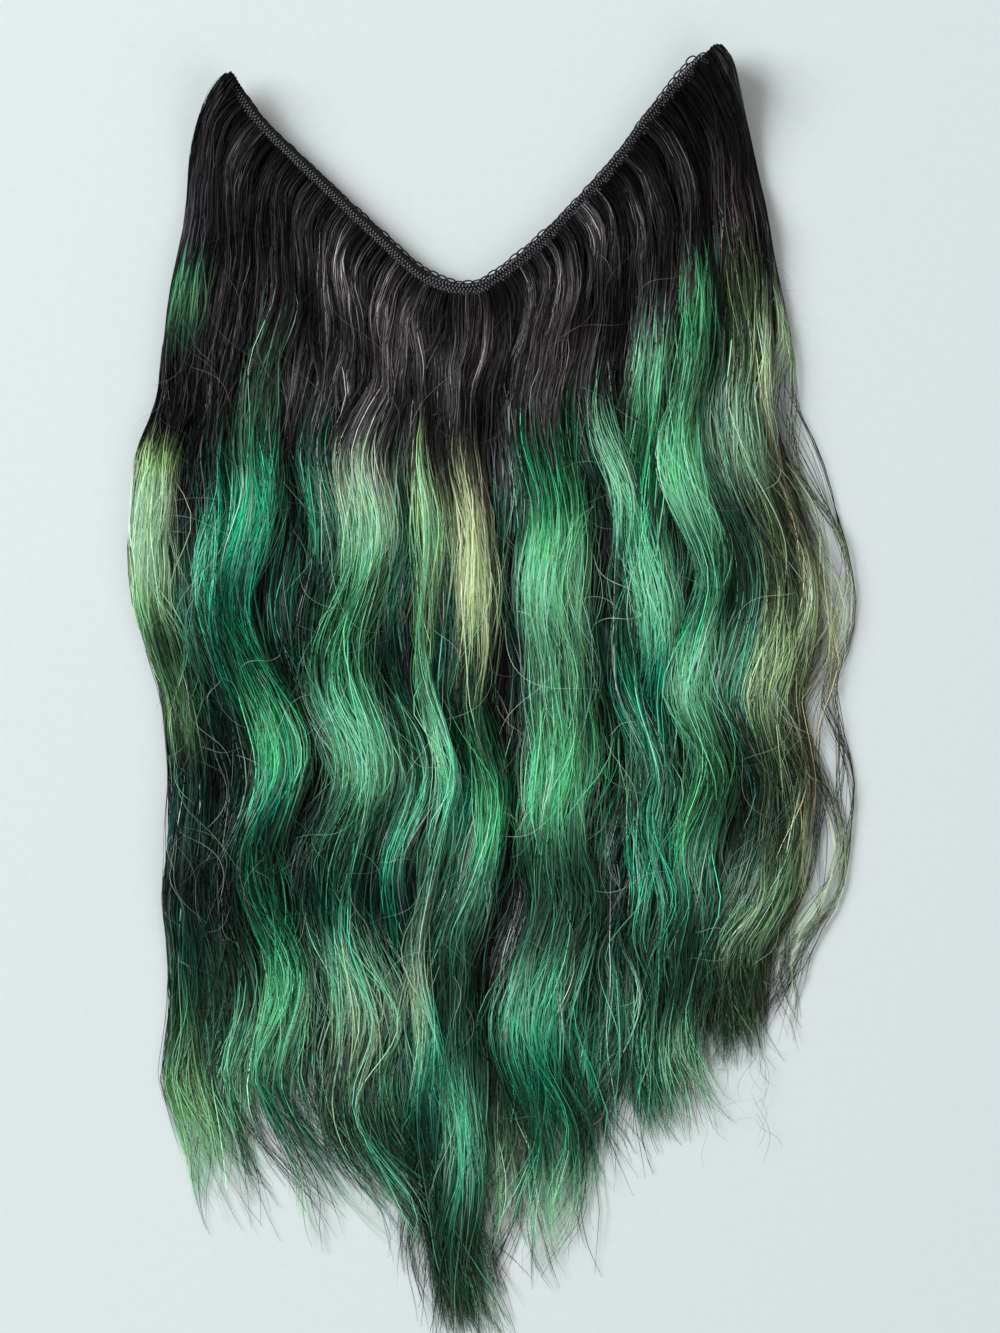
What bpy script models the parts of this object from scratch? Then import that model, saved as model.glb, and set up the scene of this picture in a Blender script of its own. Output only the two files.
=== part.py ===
"""A halo hair extension laid out flat: a V-shaped sewn band of two weft headers with a looped edge, and a
curtain of wavy locks.

Lengths are in metres. The band is at the +Y end and the tips of the hair point to -Y. +Z is up from the
surface that the hair lies on, and the origin is on that surface, at the middle of the whole outline.
"""

from collections import namedtuple
from math import cos, pi, sin

import bmesh
import bpy
from mathutils import Vector

# The sewn band, seen from above
BAND_SPAN = 0.2035  # across, from one end of the band to the other
BAND_DROP = 0.1005  # from the higher end down to the lowest point of the V
HEADER_WIDTH = 0.0048
HEADER_THICKNESS = 0.0018
CORD_WIDTH = 0.0015  # the raised cord along the front header's outer edge
CORD_RISE = 0.0007
ROOT_THICKNESS = 0.0020  # the hair roots that are sewn in between the two headers
BAND_LIFT = 0.0030  # from the surface to the underside of the back header
END_RISE = 0.0090  # how much higher the two ends of the band stand than the rest of it
END_REACH = 0.13  # the share of the band over which an end rises
FOLD_THICKNESS = 0.0010  # the turned-in tape at each end of the band
FOLD_ROOM = 0.0006
CLEARANCE = 0.0003

# The thread loops along the band's outer edge
LOOP_PITCH = 0.0037
LOOP_HEIGHT = 0.0019
LOOP_THREAD = 0.0006
LOOP_THICKNESS = 0.0008
LOOP_RAIL = 0.0007

# The hair
HAIR_LENGTH = 0.450  # from the lowest point of the V to the longest tip
SHOULDER_WIDTH = 0.257  # across the curtain, where the hair hangs straight
SHOULDER_DROP = 0.052  # the length over which the hair turns from the band to its lane
BACKING_THICKNESS = 0.0085
BACKING_REACH = 0.80  # of the way to the tips
LOCK_WIDTH = 0.0150
LOCK_HEIGHT = 0.0185
LOCK_SWAY = 0.0064
WAVE_LENGTH = 0.100
TIP_THICKNESS = 0.0016

# How finely the curves are cut into straight pieces
BAND_STEPS = 48
BACKING_COLUMNS = 32
BACKING_ROWS = 11
LOCK_STEP = 0.0165

# The band's outer edge from left to right: shares of BAND_SPAN across and of BAND_DROP down
BandPoint = namedtuple("BandPoint", "across down")
BAND_LINE = [
    BandPoint(0.000, 0.12),
    BandPoint(0.062, 0.30),
    BandPoint(0.140, 0.46),
    BandPoint(0.305, 0.78),
    BandPoint(0.400, 0.95),
    BandPoint(0.479, 1.00),
    BandPoint(0.545, 0.95),
    BandPoint(0.650, 0.77),
    BandPoint(0.778, 0.49),
    BandPoint(0.860, 0.27),
    BandPoint(0.942, 0.09),
    BandPoint(1.000, 0.00),
]

# The curtain's left and right edges. drop is a share of HAIR_LENGTH below the lowest point of the V, and left
# and right are shares of SHOULDER_WIDTH from that point.
Outline = namedtuple("Outline", "drop left right")
OUTLINE = [
    Outline(-0.174, -0.433, 0.451),
    Outline(-0.118, -0.452, 0.474),
    Outline(-0.062, -0.458, 0.497),
    Outline(0.004, -0.482, 0.507),
    Outline(0.060, -0.494, 0.510),
    Outline(0.106, -0.498, 0.500),
    Outline(0.160, -0.534, 0.525),
    Outline(0.242, -0.547, 0.567),
    Outline(0.293, -0.539, 0.580),
    Outline(0.344, -0.512, 0.573),
    Outline(0.386, -0.489, 0.552),
    Outline(0.461, -0.477, 0.577),
    Outline(0.526, -0.487, 0.567),
    Outline(0.573, -0.490, 0.556),
    Outline(0.620, -0.478, 0.505),
    Outline(0.680, -0.480, 0.495),
    Outline(0.741, -0.497, 0.498),
    Outline(0.797, -0.466, 0.482),
    Outline(0.881, -0.425, 0.457),
    Outline(0.984, -0.270, 0.384),
]

# The locks from left to right. lane is how far across the curtain a lock lies, from its left edge to its right
# one. reach is a share of HAIR_LENGTH below the V, drift a share of SHOULDER_WIDTH that the tip ends to the
# right of the lane, sway a share of LOCK_SWAY, crest the share of HAIR_LENGTH where a wave bulges to the right,
# wave a share of WAVE_LENGTH, and width and height shares of a lock's. start is the share of its path at which
# a lock comes out of the hair below it.
Lock = namedtuple("Lock", "lane reach drift sway crest wave width height start")
LOCKS = [
    Lock(0.030, 0.900, 0.00, 0.20, 0.21, 1.36, 1.10, 0.70, 0.0),
    Lock(0.085, 0.890, 0.03, 0.40, 0.21, 1.20, 0.95, 0.55, 0.0),
    Lock(0.128, 0.840, 0.05, 0.70, 0.23, 1.05, 1.00, 0.62, 0.0),
    Lock(0.170, 0.825, 0.09, 0.85, 0.20, 0.99, 1.15, 0.95, 0.0),
    Lock(0.222, 0.800, 0.10, 0.85, 0.21, 1.00, 1.25, 0.55, 0.0),
    Lock(0.275, 0.930, 0.13, 1.20, 0.21, 1.01, 1.10, 0.75, 0.0),
    Lock(0.325, 0.860, 0.12, 1.20, 0.22, 1.01, 1.45, 0.92, 0.0),
    Lock(0.385, 0.985, 0.06, 0.90, 0.21, 0.98, 1.15, 0.68, 0.0),
    Lock(0.440, 1.000, 0.02, 0.60, 0.22, 0.90, 1.05, 0.86, 0.0),
    Lock(0.502, 0.990, -0.03, 0.50, 0.21, 1.20, 1.20, 0.95, 0.0),
    Lock(0.562, 0.960, 0.00, 0.70, 0.16, 0.97, 1.15, 0.60, 0.0),
    Lock(0.632, 0.935, 0.04, 0.65, 0.15, 1.13, 1.60, 1.00, 0.0),
    Lock(0.700, 0.850, 0.02, 0.60, 0.22, 0.85, 1.05, 0.58, 0.0),
    Lock(0.748, 0.816, 0.12, 0.70, 0.18, 0.97, 1.10, 0.82, 0.0),
    Lock(0.797, 0.790, 0.06, 0.80, 0.24, 0.90, 1.15, 0.60, 0.0),
    Lock(0.848, 0.790, 0.09, 0.85, 0.25, 0.86, 1.30, 1.00, 0.0),
    Lock(0.905, 0.720, 0.00, 0.50, 0.26, 0.95, 1.30, 0.72, 0.0),
    Lock(0.950, 0.745, -0.01, 0.30, 0.28, 1.00, 1.05, 0.65, 0.0),
    Lock(0.982, 0.690, -0.03, 0.20, 0.28, 1.00, 0.70, 0.50, 0.0),
    Lock(0.055, 0.860, 0.09, 0.40, 0.21, 1.20, 0.70, 0.50, 0.6),
    Lock(0.200, 0.790, 0.14, 0.70, 0.20, 1.00, 0.70, 0.50, 0.6),
    Lock(0.350, 0.905, 0.05, 1.00, 0.18, 1.10, 0.70, 0.55, 0.6),
    Lock(0.470, 0.970, 0.03, 0.70, 0.22, 0.90, 0.80, 0.60, 0.6),
    Lock(0.590, 0.965, -0.04, 0.80, 0.20, 0.95, 0.70, 0.50, 0.6),
    Lock(0.662, 0.840, -0.04, 0.70, 0.20, 0.95, 0.70, 0.50, 0.6),
    Lock(0.875, 0.770, 0.00, 0.80, 0.28, 0.95, 0.70, 0.50, 0.6),
]
LANE_MIDDLE = 0.50  # the lane that starts at the lowest point of the V

# A lock's depth and width at shares of its path, as shares of its full height and width
Section = namedtuple("Section", "share width height")
LOCK_SECTIONS = [
    Section(0.00, 0.75, 0.62),
    Section(0.12, 0.90, 0.85),
    Section(0.30, 1.00, 1.00),
    Section(0.55, 1.05, 0.92),
    Section(0.75, 0.95, 0.62),
    Section(0.88, 0.62, 0.36),
    Section(0.96, 0.30, 0.20),
    Section(1.00, 0.07, 0.10),
]

# The backing's thickness at shares of its path, as shares of BACKING_THICKNESS
BackingSection = namedtuple("BackingSection", "share depth")
BACKING_SECTIONS = [
    BackingSection(0.00, 1.20),
    BackingSection(0.25, 1.10),
    BackingSection(0.60, 0.85),
    BackingSection(1.00, 0.30),
]
EDGE_DEPTHS = (0.45, 0.80)  # the backing's thickness at its side edges, and one column in from them

COLOURS = {
    "hair_curtain": ((0.035, 0.115, 0.070), 0.42),
    "front_header": ((0.012, 0.011, 0.014), 0.60),
    "back_header": ((0.012, 0.011, 0.014), 0.60),
    "loop_edging": ((0.010, 0.010, 0.012), 0.55),
    "left_end_fold": ((0.014, 0.012, 0.015), 0.60),
    "right_end_fold": ((0.014, 0.012, 0.015), 0.60),
}

ROOT_BOTTOM = BAND_LIFT + HEADER_THICKNESS + CLEARANCE
ROOT_TOP = ROOT_BOTTOM + ROOT_THICKNESS
FRONT_BOTTOM = ROOT_TOP + CLEARANCE
FRONT_TOP = FRONT_BOTTOM + HEADER_THICKNESS


def between(rows, share, column):
    """The value of one column at a share, straight between the table's rows."""
    share = min(max(share, rows[0][0]), rows[-1][0])
    for low, high in zip(rows, rows[1:]):
        if share <= high[0]:
            part = (share - low[0]) / (high[0] - low[0])
            return low[column] * (1 - part) + high[column] * part
    return rows[-1][column]


def smooth(share):
    share = min(max(share, 0.0), 1.0)
    return share * share * (3 - 2 * share)


# The band's line


def band_corners():
    lowest = max(row.down for row in BAND_LINE)
    middle = next(row.across for row in BAND_LINE if row.down == lowest)
    return [
        Vector(((row.across - middle) * BAND_SPAN, (lowest - row.down) * BAND_DROP, 0.0))
        for row in BAND_LINE
    ]


def smooth_line(corners, steps):
    """Points on the Catmull-Rom curve through the corners, that many for each stretch."""
    ends = [corners[0] * 2 - corners[1], *corners, corners[-1] * 2 - corners[-2]]
    line = []
    for a, b, c, d in zip(ends, ends[1:], ends[2:], ends[3:]):
        for step in range(steps):
            t = step / steps
            line.append(
                0.5 * (b * 2 + (c - a) * t + (a * 2 - b * 5 + c * 4 - d) * t**2 + (b * 3 - a - c * 3 + d) * t**3)
            )
    return [*line, corners[-1]]


BAND_CURVE = smooth_line(band_corners(), 12)


def lengths_along(line):
    total = [0.0]
    for start, end in zip(line, line[1:]):
        total.append(total[-1] + (end - start).length)
    return total


BAND_LENGTHS = lengths_along(BAND_CURVE)


def band_at(share):
    """(point on the band's outer edge, its direction to the right, the direction towards the hair)."""
    goal = min(max(share, 0.0), 1.0) * BAND_LENGTHS[-1]
    i = next(i for i in range(1, len(BAND_LENGTHS)) if BAND_LENGTHS[i] >= goal - 1e-12)
    start, end = BAND_CURVE[i - 1], BAND_CURVE[i]
    part = (goal - BAND_LENGTHS[i - 1]) / (BAND_LENGTHS[i] - BAND_LENGTHS[i - 1])
    before, after = BAND_CURVE[max(i - 2, 0)], BAND_CURVE[min(i + 1, len(BAND_CURVE) - 1)]
    along = ((end - before).normalized() * (1 - part) + (after - start).normalized() * part).normalized()
    point = start.lerp(end, part)
    point.z = END_RISE * max(0.0, 1 - min(share, 1 - share) / END_REACH) ** 2
    return point, along, Vector((along.y, -along.x, 0.0))


MIDDLE_ROOT = BAND_LENGTHS[min(range(len(BAND_CURVE)), key=lambda i: BAND_CURVE[i].y)] / BAND_LENGTHS[-1]


# The paths that the hair follows


def root_of(lane):
    """The share of the band at which a lane of hair starts."""
    if lane < LANE_MIDDLE:
        return MIDDLE_ROOT * lane / LANE_MIDDLE
    return MIDDLE_ROOT + (1 - MIDDLE_ROOT) * (lane - LANE_MIDDLE) / (1 - LANE_MIDDLE)


def lane_point(lock, drop, waves):
    """The middle of a lock, a distance below the lowest point of the V."""
    share = drop / HAIR_LENGTH
    left, right = between(OUTLINE, share, 1), between(OUTLINE, share, 2)
    across = left + lock.lane * (right - left) + lock.drift * max(share, 0.0) ** 3
    phase = 2 * pi * (drop - lock.crest * HAIR_LENGTH) / (lock.wave * WAVE_LENGTH)
    fallen = smooth((drop + 0.2 * WAVE_LENGTH) / WAVE_LENGTH)
    return Vector((across * SHOULDER_WIDTH + waves * lock.sway * LOCK_SWAY * fallen * cos(phase), -drop, 0.0))


def hair_path(lock, steps, waves=1.0):
    """Points from the header's inner edge to the lock's tip."""
    edge, _, towards_hair = band_at(root_of(lock.lane))
    start = edge + towards_hair * (HEADER_WIDTH + CLEARANCE)
    settled = -(start.y - SHOULDER_DROP)
    bend = lane_point(lock, settled, waves)
    handle = SHOULDER_DROP * 0.33
    near, far = start + towards_hair * handle, bend + Vector((0.0, handle, 0.0))
    total = SHOULDER_DROP + lock.reach * HAIR_LENGTH - settled
    points = []
    for step in range(steps + 1):
        gone = total * step / steps
        if gone < SHOULDER_DROP:
            t = gone / SHOULDER_DROP
            point = start * (1 - t) ** 3 + near * 3 * t * (1 - t) ** 2 + far * 3 * t**2 * (1 - t) + bend * t**3
            point.z = edge.z * (1 - smooth(t))
        else:
            point = lane_point(lock, settled + gone - SHOULDER_DROP, waves)
        points.append(point)
    return points


def lock_between(lane):
    """A lock's row for any lane, straight between the full-length locks."""
    full = [lock for lock in LOCKS if lock.start == 0.0]
    values = [between(full, lane, column) for column in range(len(Lock._fields))]
    return Lock(*values)._replace(lane=lane)


# Meshes


def new_object(name, verts, faces):
    mesh = bpy.data.meshes.new(name)
    shape = bmesh.new()
    made = [shape.verts.new(v) for v in verts]
    for face in faces:
        shape.faces.new([made[i] for i in face])
    bmesh.ops.recalc_face_normals(shape, faces=shape.faces)
    shape.to_mesh(mesh)
    shape.free()
    obj = bpy.data.objects.new(name, mesh)
    bpy.context.scene.collection.objects.link(obj)
    return obj


def lofted(name, rings):
    """A closed solid through rings of as many points each, with flat ends."""
    sides = len(rings[0])
    verts = [point for ring in rings for point in ring]
    faces = []
    for i in range(len(rings) - 1):
        for j in range(sides):
            k = (j + 1) % sides
            faces.append((i * sides + j, i * sides + k, (i + 1) * sides + k, (i + 1) * sides + j))
    last = (len(rings) - 1) * sides
    faces.append(tuple(range(sides)))
    faces.append(tuple(range(last, last + sides)))
    return new_object(name, verts, faces)


def band_strip(name, profile):
    """A strip along the whole band. profile holds (distance from the outer edge towards the hair, height)."""
    rings = []
    for step in range(BAND_STEPS + 1):
        edge, _, towards_hair = band_at(step / BAND_STEPS)
        rings.append([edge + towards_hair * d + Vector((0.0, 0.0, z)) for d, z in profile])
    return lofted(name, rings)


def front_header():
    top = FRONT_TOP + CORD_RISE
    return band_strip(
        "front_header",
        [
            (0.0, FRONT_BOTTOM),
            (HEADER_WIDTH, FRONT_BOTTOM),
            (HEADER_WIDTH, FRONT_TOP),
            (CORD_WIDTH, FRONT_TOP),
            (CORD_WIDTH * 0.75, top),
            (CORD_WIDTH * 0.25, top),
            (0.0, FRONT_TOP),
        ],
    )


def back_header():
    top = BAND_LIFT + HEADER_THICKNESS
    return band_strip(
        "back_header", [(0.0, BAND_LIFT), (HEADER_WIDTH, BAND_LIFT), (HEADER_WIDTH, top), (0.0, top)]
    )


def end_fold(name, share):
    """The turn of the weft at an end of the band, from the front header down to the back one."""
    edge, along, towards_hair = band_at(share)
    out = along if share > 0.5 else -along
    near, far = CLEARANCE, CLEARANCE + FOLD_ROOM
    thick = FOLD_THICKNESS
    corner = thick * 0.6
    low, high = BAND_LIFT, FRONT_TOP
    profile = [
        (near, low),
        (far + thick - corner, low),
        (far + thick, low + corner),
        (far + thick, high - corner),
        (far + thick - corner, high),
        (near, high),
        (near, high - thick),
        (far, high - thick),
        (far, low + thick),
        (near, low + thick),
    ]
    rings = [
        [edge + towards_hair * d + out * o + Vector((0.0, 0.0, z)) for o, z in profile] for d in (0.0, HEADER_WIDTH)
    ]
    return lofted(name, rings)


def loop_edging():
    """A rail along the band's outer edge with a row of open thread loops on it."""
    count = round(BAND_LENGTHS[-1] / LOOP_PITCH)
    rail_in, rail_out = CLEARANCE, CLEARANCE - LOOP_RAIL
    crown, hole = rail_out - LOOP_HEIGHT, rail_out - LOOP_HEIGHT + LOOP_THREAD
    thread = LOOP_THREAD / LOOP_PITCH
    spots = [
        (0.0, rail_in),
        (0.0, rail_out),
        (thread * 0.6, rail_out),
        (0.34, hole),
        (0.66, hole),
        (1.0 - thread * 0.6, rail_out),
        (0.22, crown),
        (0.78, crown),
    ]
    middle = (ROOT_BOTTOM + ROOT_TOP) / 2
    heights = (middle - LOOP_THICKNESS / 2, middle + LOOP_THICKNESS / 2)
    per_loop = 2 * len(spots)
    verts, faces = [], []

    def place(loop, part, d, z):
        edge, _, towards_hair = band_at((loop + part) / count)
        return edge + towards_hair * d + Vector((0.0, 0.0, z))

    def spot(loop, which, level):
        return loop * per_loop + level * len(spots) + which

    for loop in range(count):
        for z in heights:
            verts += [place(loop, part, d, z) for part, d in spots]
    verts += [place(count, 0.0, d, z) for z in heights for d in (rail_in, rail_out)]
    closing = count * per_loop

    for loop in range(count):

        def here(which, level, loop=loop):
            return spot(loop, which, level)

        def following(which, level, loop=loop):
            return spot(loop + 1, which, level) if loop + 1 < count else closing + 2 * level + which

        for level in (0, 1):
            faces += [
                (
                    here(0, level),
                    here(1, level),
                    here(2, level),
                    here(5, level),
                    following(1, level),
                    following(0, level),
                ),
                (here(1, level), here(6, level), here(3, level), here(2, level)),
                (here(6, level), here(7, level), here(4, level), here(3, level)),
                (here(7, level), following(1, level), here(5, level), here(4, level)),
            ]
        outside = [(here, 1, here, 6), (here, 6, here, 7), (here, 7, following, 1), (here, 0, following, 0)]
        inside = [(here, 2, here, 3), (here, 3, here, 4), (here, 4, here, 5), (here, 5, here, 2)]
        for first, a, second, b in outside + inside:
            faces.append((first(a, 0), second(b, 0), second(b, 1), first(a, 1)))
    faces.append((spot(0, 0, 0), spot(0, 1, 0), spot(0, 1, 1), spot(0, 0, 1)))
    faces.append((closing, closing + 1, closing + 3, closing + 2))
    return new_object("loop_edging", verts, faces)


def backing():
    """The layer of hair that lies on the surface, from between the headers to where the tips begin."""
    verts, faces = [], []
    rows = 0
    for column in range(BACKING_COLUMNS + 1):
        lane = column / BACKING_COLUMNS
        inset = min(column, BACKING_COLUMNS - column)
        depth = BACKING_THICKNESS * (EDGE_DEPTHS[inset] if inset < len(EDGE_DEPTHS) else 1.0)
        edge, _, towards_hair = band_at(root_of(lane))
        places = [
            (edge + towards_hair * 5 * CLEARANCE, ROOT_BOTTOM, ROOT_TOP),
            (edge + towards_hair * (HEADER_WIDTH + CLEARANCE), ROOT_BOTTOM, ROOT_TOP),
            (edge + towards_hair * (HEADER_WIDTH * 1.8), BAND_LIFT, max(depth, ROOT_TOP)),
        ]
        path = hair_path(lock_between(lane), 60, waves=0.25)
        lowest = len(path) * BACKING_REACH
        for row in range(1, BACKING_ROWS + 1):
            share = row / BACKING_ROWS
            top = depth * between(BACKING_SECTIONS, share, 1)
            places.append((path[round(lowest * share**1.15)], 0.0, top))
        rows = len(places)
        for point, low, high in places:
            verts += [point + Vector((0.0, 0.0, low)), point + Vector((0.0, 0.0, high))]

    def at(column, row, level):
        return (column * rows + row) * 2 + level

    for column in range(BACKING_COLUMNS):
        for row in range(rows - 1):
            for level in (0, 1):
                corners = [(column, row), (column + 1, row), (column + 1, row + 1), (column, row + 1)]
                faces.append(tuple(at(c, r, level) for c, r in corners))
        for row in (0, rows - 1):
            faces.append((at(column, row, 0), at(column + 1, row, 0), at(column + 1, row, 1), at(column, row, 1)))
    for column in (0, BACKING_COLUMNS):
        for row in range(rows - 1):
            faces.append((at(column, row, 0), at(column, row + 1, 0), at(column, row + 1, 1), at(column, row, 1)))
    return new_object("hair_curtain", verts, faces)


def lock_solid(index, lock):
    """One wavy lock: domed above, flat below, and drawn out to a thin tip."""
    whole = lengths_along(hair_path(lock, 60))[-1]
    steps = round(whole / LOCK_STEP)
    path = hair_path(lock, steps)
    first = max(1, round(lock.start * steps))
    rings = []
    for i in range(first, steps + 1):
        share = (i - first) / (steps - first)
        along = (path[min(i + 1, steps)] - path[i - 1]).normalized()
        across = Vector((along.y, -along.x, 0.0))
        if lock.start > 0.0:
            share = 0.55 + 0.45 * share
        half = 0.5 * lock.width * LOCK_WIDTH * between(LOCK_SECTIONS, share, 1)
        top = max(lock.height * LOCK_HEIGHT * between(LOCK_SECTIONS, share, 2), TIP_THICKNESS)
        low = TIP_THICKNESS * 0.25 + (ROOT_BOTTOM - TIP_THICKNESS * 0.25) * max(0.0, 1 - share / 0.06)
        profile = [(-1.0, 0.0), (-0.62, 0.72), (0.0, 1.0), (0.62, 0.72), (1.0, 0.0)]
        rings.append([path[i] + across * half * a + Vector((0.0, 0.0, low + (top - low) * b)) for a, b in profile])
    return lofted(f"lock_{index}", rings)


def hair_curtain():
    """The backing with every lock fused to it."""
    curtain = backing()
    locks = bpy.data.collections.new("locks")
    bpy.context.scene.collection.children.link(locks)
    for index, lock in enumerate(LOCKS):
        solid = lock_solid(index, lock)
        bpy.context.scene.collection.objects.unlink(solid)
        locks.objects.link(solid)
        solid.hide_render = True
        solid.display_type = "WIRE"
        solid.parent = FRAME
    fuse = curtain.modifiers.new("fuse", "BOOLEAN")
    fuse.operation = "UNION"
    fuse.solver = "EXACT"
    fuse.use_self = True
    fuse.operand_type = "COLLECTION"
    fuse.collection = locks
    return curtain


def dress(obj):
    colour, roughness = COLOURS[obj.name]
    material = bpy.data.materials.new(obj.name)
    material.use_nodes = True
    shader = material.node_tree.nodes["Principled BSDF"]
    shader.inputs["Base Color"].default_value = (*colour, 1.0)
    shader.inputs["Roughness"].default_value = roughness
    shader.inputs["Metallic"].default_value = 0.0
    obj.data.materials.append(material)
    obj.parent = FRAME


def centre_on_origin():
    """Puts the middle of the whole outline over the origin."""
    meshes = [obj for obj in bpy.data.objects if obj.type == "MESH"]
    for axis in (0, 1):
        values = [v.co[axis] for obj in meshes for v in obj.data.vertices]
        FRAME.location[axis] = -(min(values) + max(values)) / 2


for old in list(bpy.data.objects):
    bpy.data.objects.remove(old)
FRAME = bpy.data.objects.new("frame", None)
bpy.context.scene.collection.objects.link(FRAME)

PIECES = [
    front_header(),
    back_header(),
    end_fold("left_end_fold", 0.0),
    end_fold("right_end_fold", 1.0),
    loop_edging(),
    hair_curtain(),
]
for piece in PIECES:
    dress(piece)
centre_on_origin()
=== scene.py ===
"""The looks of a halo hair extension: a dyed, wavy curtain of hair on a stitched V-shaped band.

Every length is in metres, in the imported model's frame: +Y towards the band, +Z up from the table.
"""

from collections import namedtuple
from math import pi, radians

import bpy
import numpy as np
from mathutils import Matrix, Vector


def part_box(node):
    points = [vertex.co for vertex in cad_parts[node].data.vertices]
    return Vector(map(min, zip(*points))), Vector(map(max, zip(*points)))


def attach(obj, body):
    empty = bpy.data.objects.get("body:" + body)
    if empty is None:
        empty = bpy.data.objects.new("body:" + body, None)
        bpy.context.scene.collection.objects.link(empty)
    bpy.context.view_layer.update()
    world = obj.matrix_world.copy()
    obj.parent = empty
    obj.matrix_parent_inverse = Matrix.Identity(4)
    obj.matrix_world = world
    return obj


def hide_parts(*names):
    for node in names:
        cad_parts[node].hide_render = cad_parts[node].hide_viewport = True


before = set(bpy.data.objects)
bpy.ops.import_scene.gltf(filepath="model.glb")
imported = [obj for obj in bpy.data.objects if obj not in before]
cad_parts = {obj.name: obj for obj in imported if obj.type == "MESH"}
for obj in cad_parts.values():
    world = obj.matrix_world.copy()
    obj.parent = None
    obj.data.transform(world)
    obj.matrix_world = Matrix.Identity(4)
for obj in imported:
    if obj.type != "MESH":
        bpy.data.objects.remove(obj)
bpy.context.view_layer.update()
UP = np.array([0.0, 0.0, 1.0])
RANDOM = np.random.default_rng(21)
uniform = RANDOM.uniform
normal = RANDOM.normal

# Sizes that match the solids
BAND_SPAN = 0.2035
BAND_DROP = 0.1005
HEADER_WIDTH = 0.0048
HEADER_THICKNESS = 0.0018
CORD_WIDTH = 0.0015
CORD_RISE = 0.0007
ROOT_HEIGHT = 0.0061
HEADER_TOP = 0.0092
BACK_HEADER_LOW = 0.0030
END_RISE = 0.0090
END_REACH = 0.13
HAIR_LENGTH = 0.450
SHOULDER_WIDTH = 0.257
SHOULDER_DROP = 0.052
WAVE_LENGTH = 0.100

# The band's own make
END_ROUNDING = 0.0042
INNER_ROUNDING = 0.0010
END_BEYOND = 0.0004
TURNED_SHARE = 0.034  # of the band's length, that its turned end takes up
CORD_SHARE = 0.42  # of the band, from its left end, where a cord shows on its edge

# The hair's own make
STRAND_POINTS = 52
PART_POINTS = 15
STRAND_WIDTH = 0.00030
WISP_RADIUS = 0.0022
ROOT_BUNDLES = 60
CAP_RADIUS = 0.0030
LOWEST_HAIR = 0.0004
ROOT_HANDLE = SHOULDER_DROP * 0.36  # how far the fan of roots keeps its first and its last direction
TAIL = 0.86  # of the way to a strand's tip, where its curled tail starts
MOST_TRIANGLES = 190000

# The band's outer edge: shares of BAND_SPAN across and of BAND_DROP down
BAND_LINE = [
    (0.000, 0.12), (0.062, 0.30), (0.140, 0.46), (0.305, 0.78), (0.400, 0.95), (0.479, 1.00),
    (0.545, 0.95), (0.650, 0.77), (0.778, 0.49), (0.860, 0.27), (0.942, 0.09), (1.000, 0.00),
]

# The curtain's edges: share of HAIR_LENGTH below the V, then left and right as shares of SHOULDER_WIDTH
OUTLINE = np.array([
    (-0.174, -0.433, 0.451), (-0.118, -0.452, 0.474), (-0.062, -0.458, 0.497), (0.004, -0.482, 0.507),
    (0.060, -0.494, 0.510), (0.106, -0.498, 0.500), (0.160, -0.534, 0.525), (0.242, -0.547, 0.567),
    (0.293, -0.539, 0.580), (0.344, -0.512, 0.573), (0.386, -0.489, 0.552), (0.461, -0.477, 0.577),
    (0.526, -0.487, 0.567), (0.573, -0.490, 0.556), (0.620, -0.478, 0.505), (0.680, -0.480, 0.495),
    (0.741, -0.497, 0.498), (0.797, -0.466, 0.482), (0.881, -0.425, 0.457), (0.984, -0.290, 0.330),
])

# Dyes and natural hair, as screen colours from 0 to 255. gleam is the colour of painted highlights and
# glints, also used for a few pale hairs. frost is a pale dye that the lock lists also use as painted
# highlight. mauve is natural hair, and also the colour of the painted sheen on the dark roots.
DYES_AND_HIGHLIGHTS = {
    "black": (9, 7, 10),
    "brown": (34, 25, 28),
    "mauve": (138, 133, 137),
    "charcoal": (52, 52, 55),
    "pine": (8, 44, 34),
    "bottle": (22, 94, 72),
    "sea": (70, 150, 116),
    "teal": (8, 136, 102),
    "emerald": (22, 160, 112),
    "leaf": (66, 182, 116),
    "mint": (140, 232, 182),
    "frost": (214, 255, 212),
    "lime": (190, 236, 156),
    "straw": (224, 240, 184),
    "olive": (120, 146, 104),
    "tan": (152, 144, 110),
    "slate": (86, 130, 104),
    "moss": (94, 137, 96),
    "fern": (46, 86, 58),
    "gleam": (222, 244, 232),
}
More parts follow.
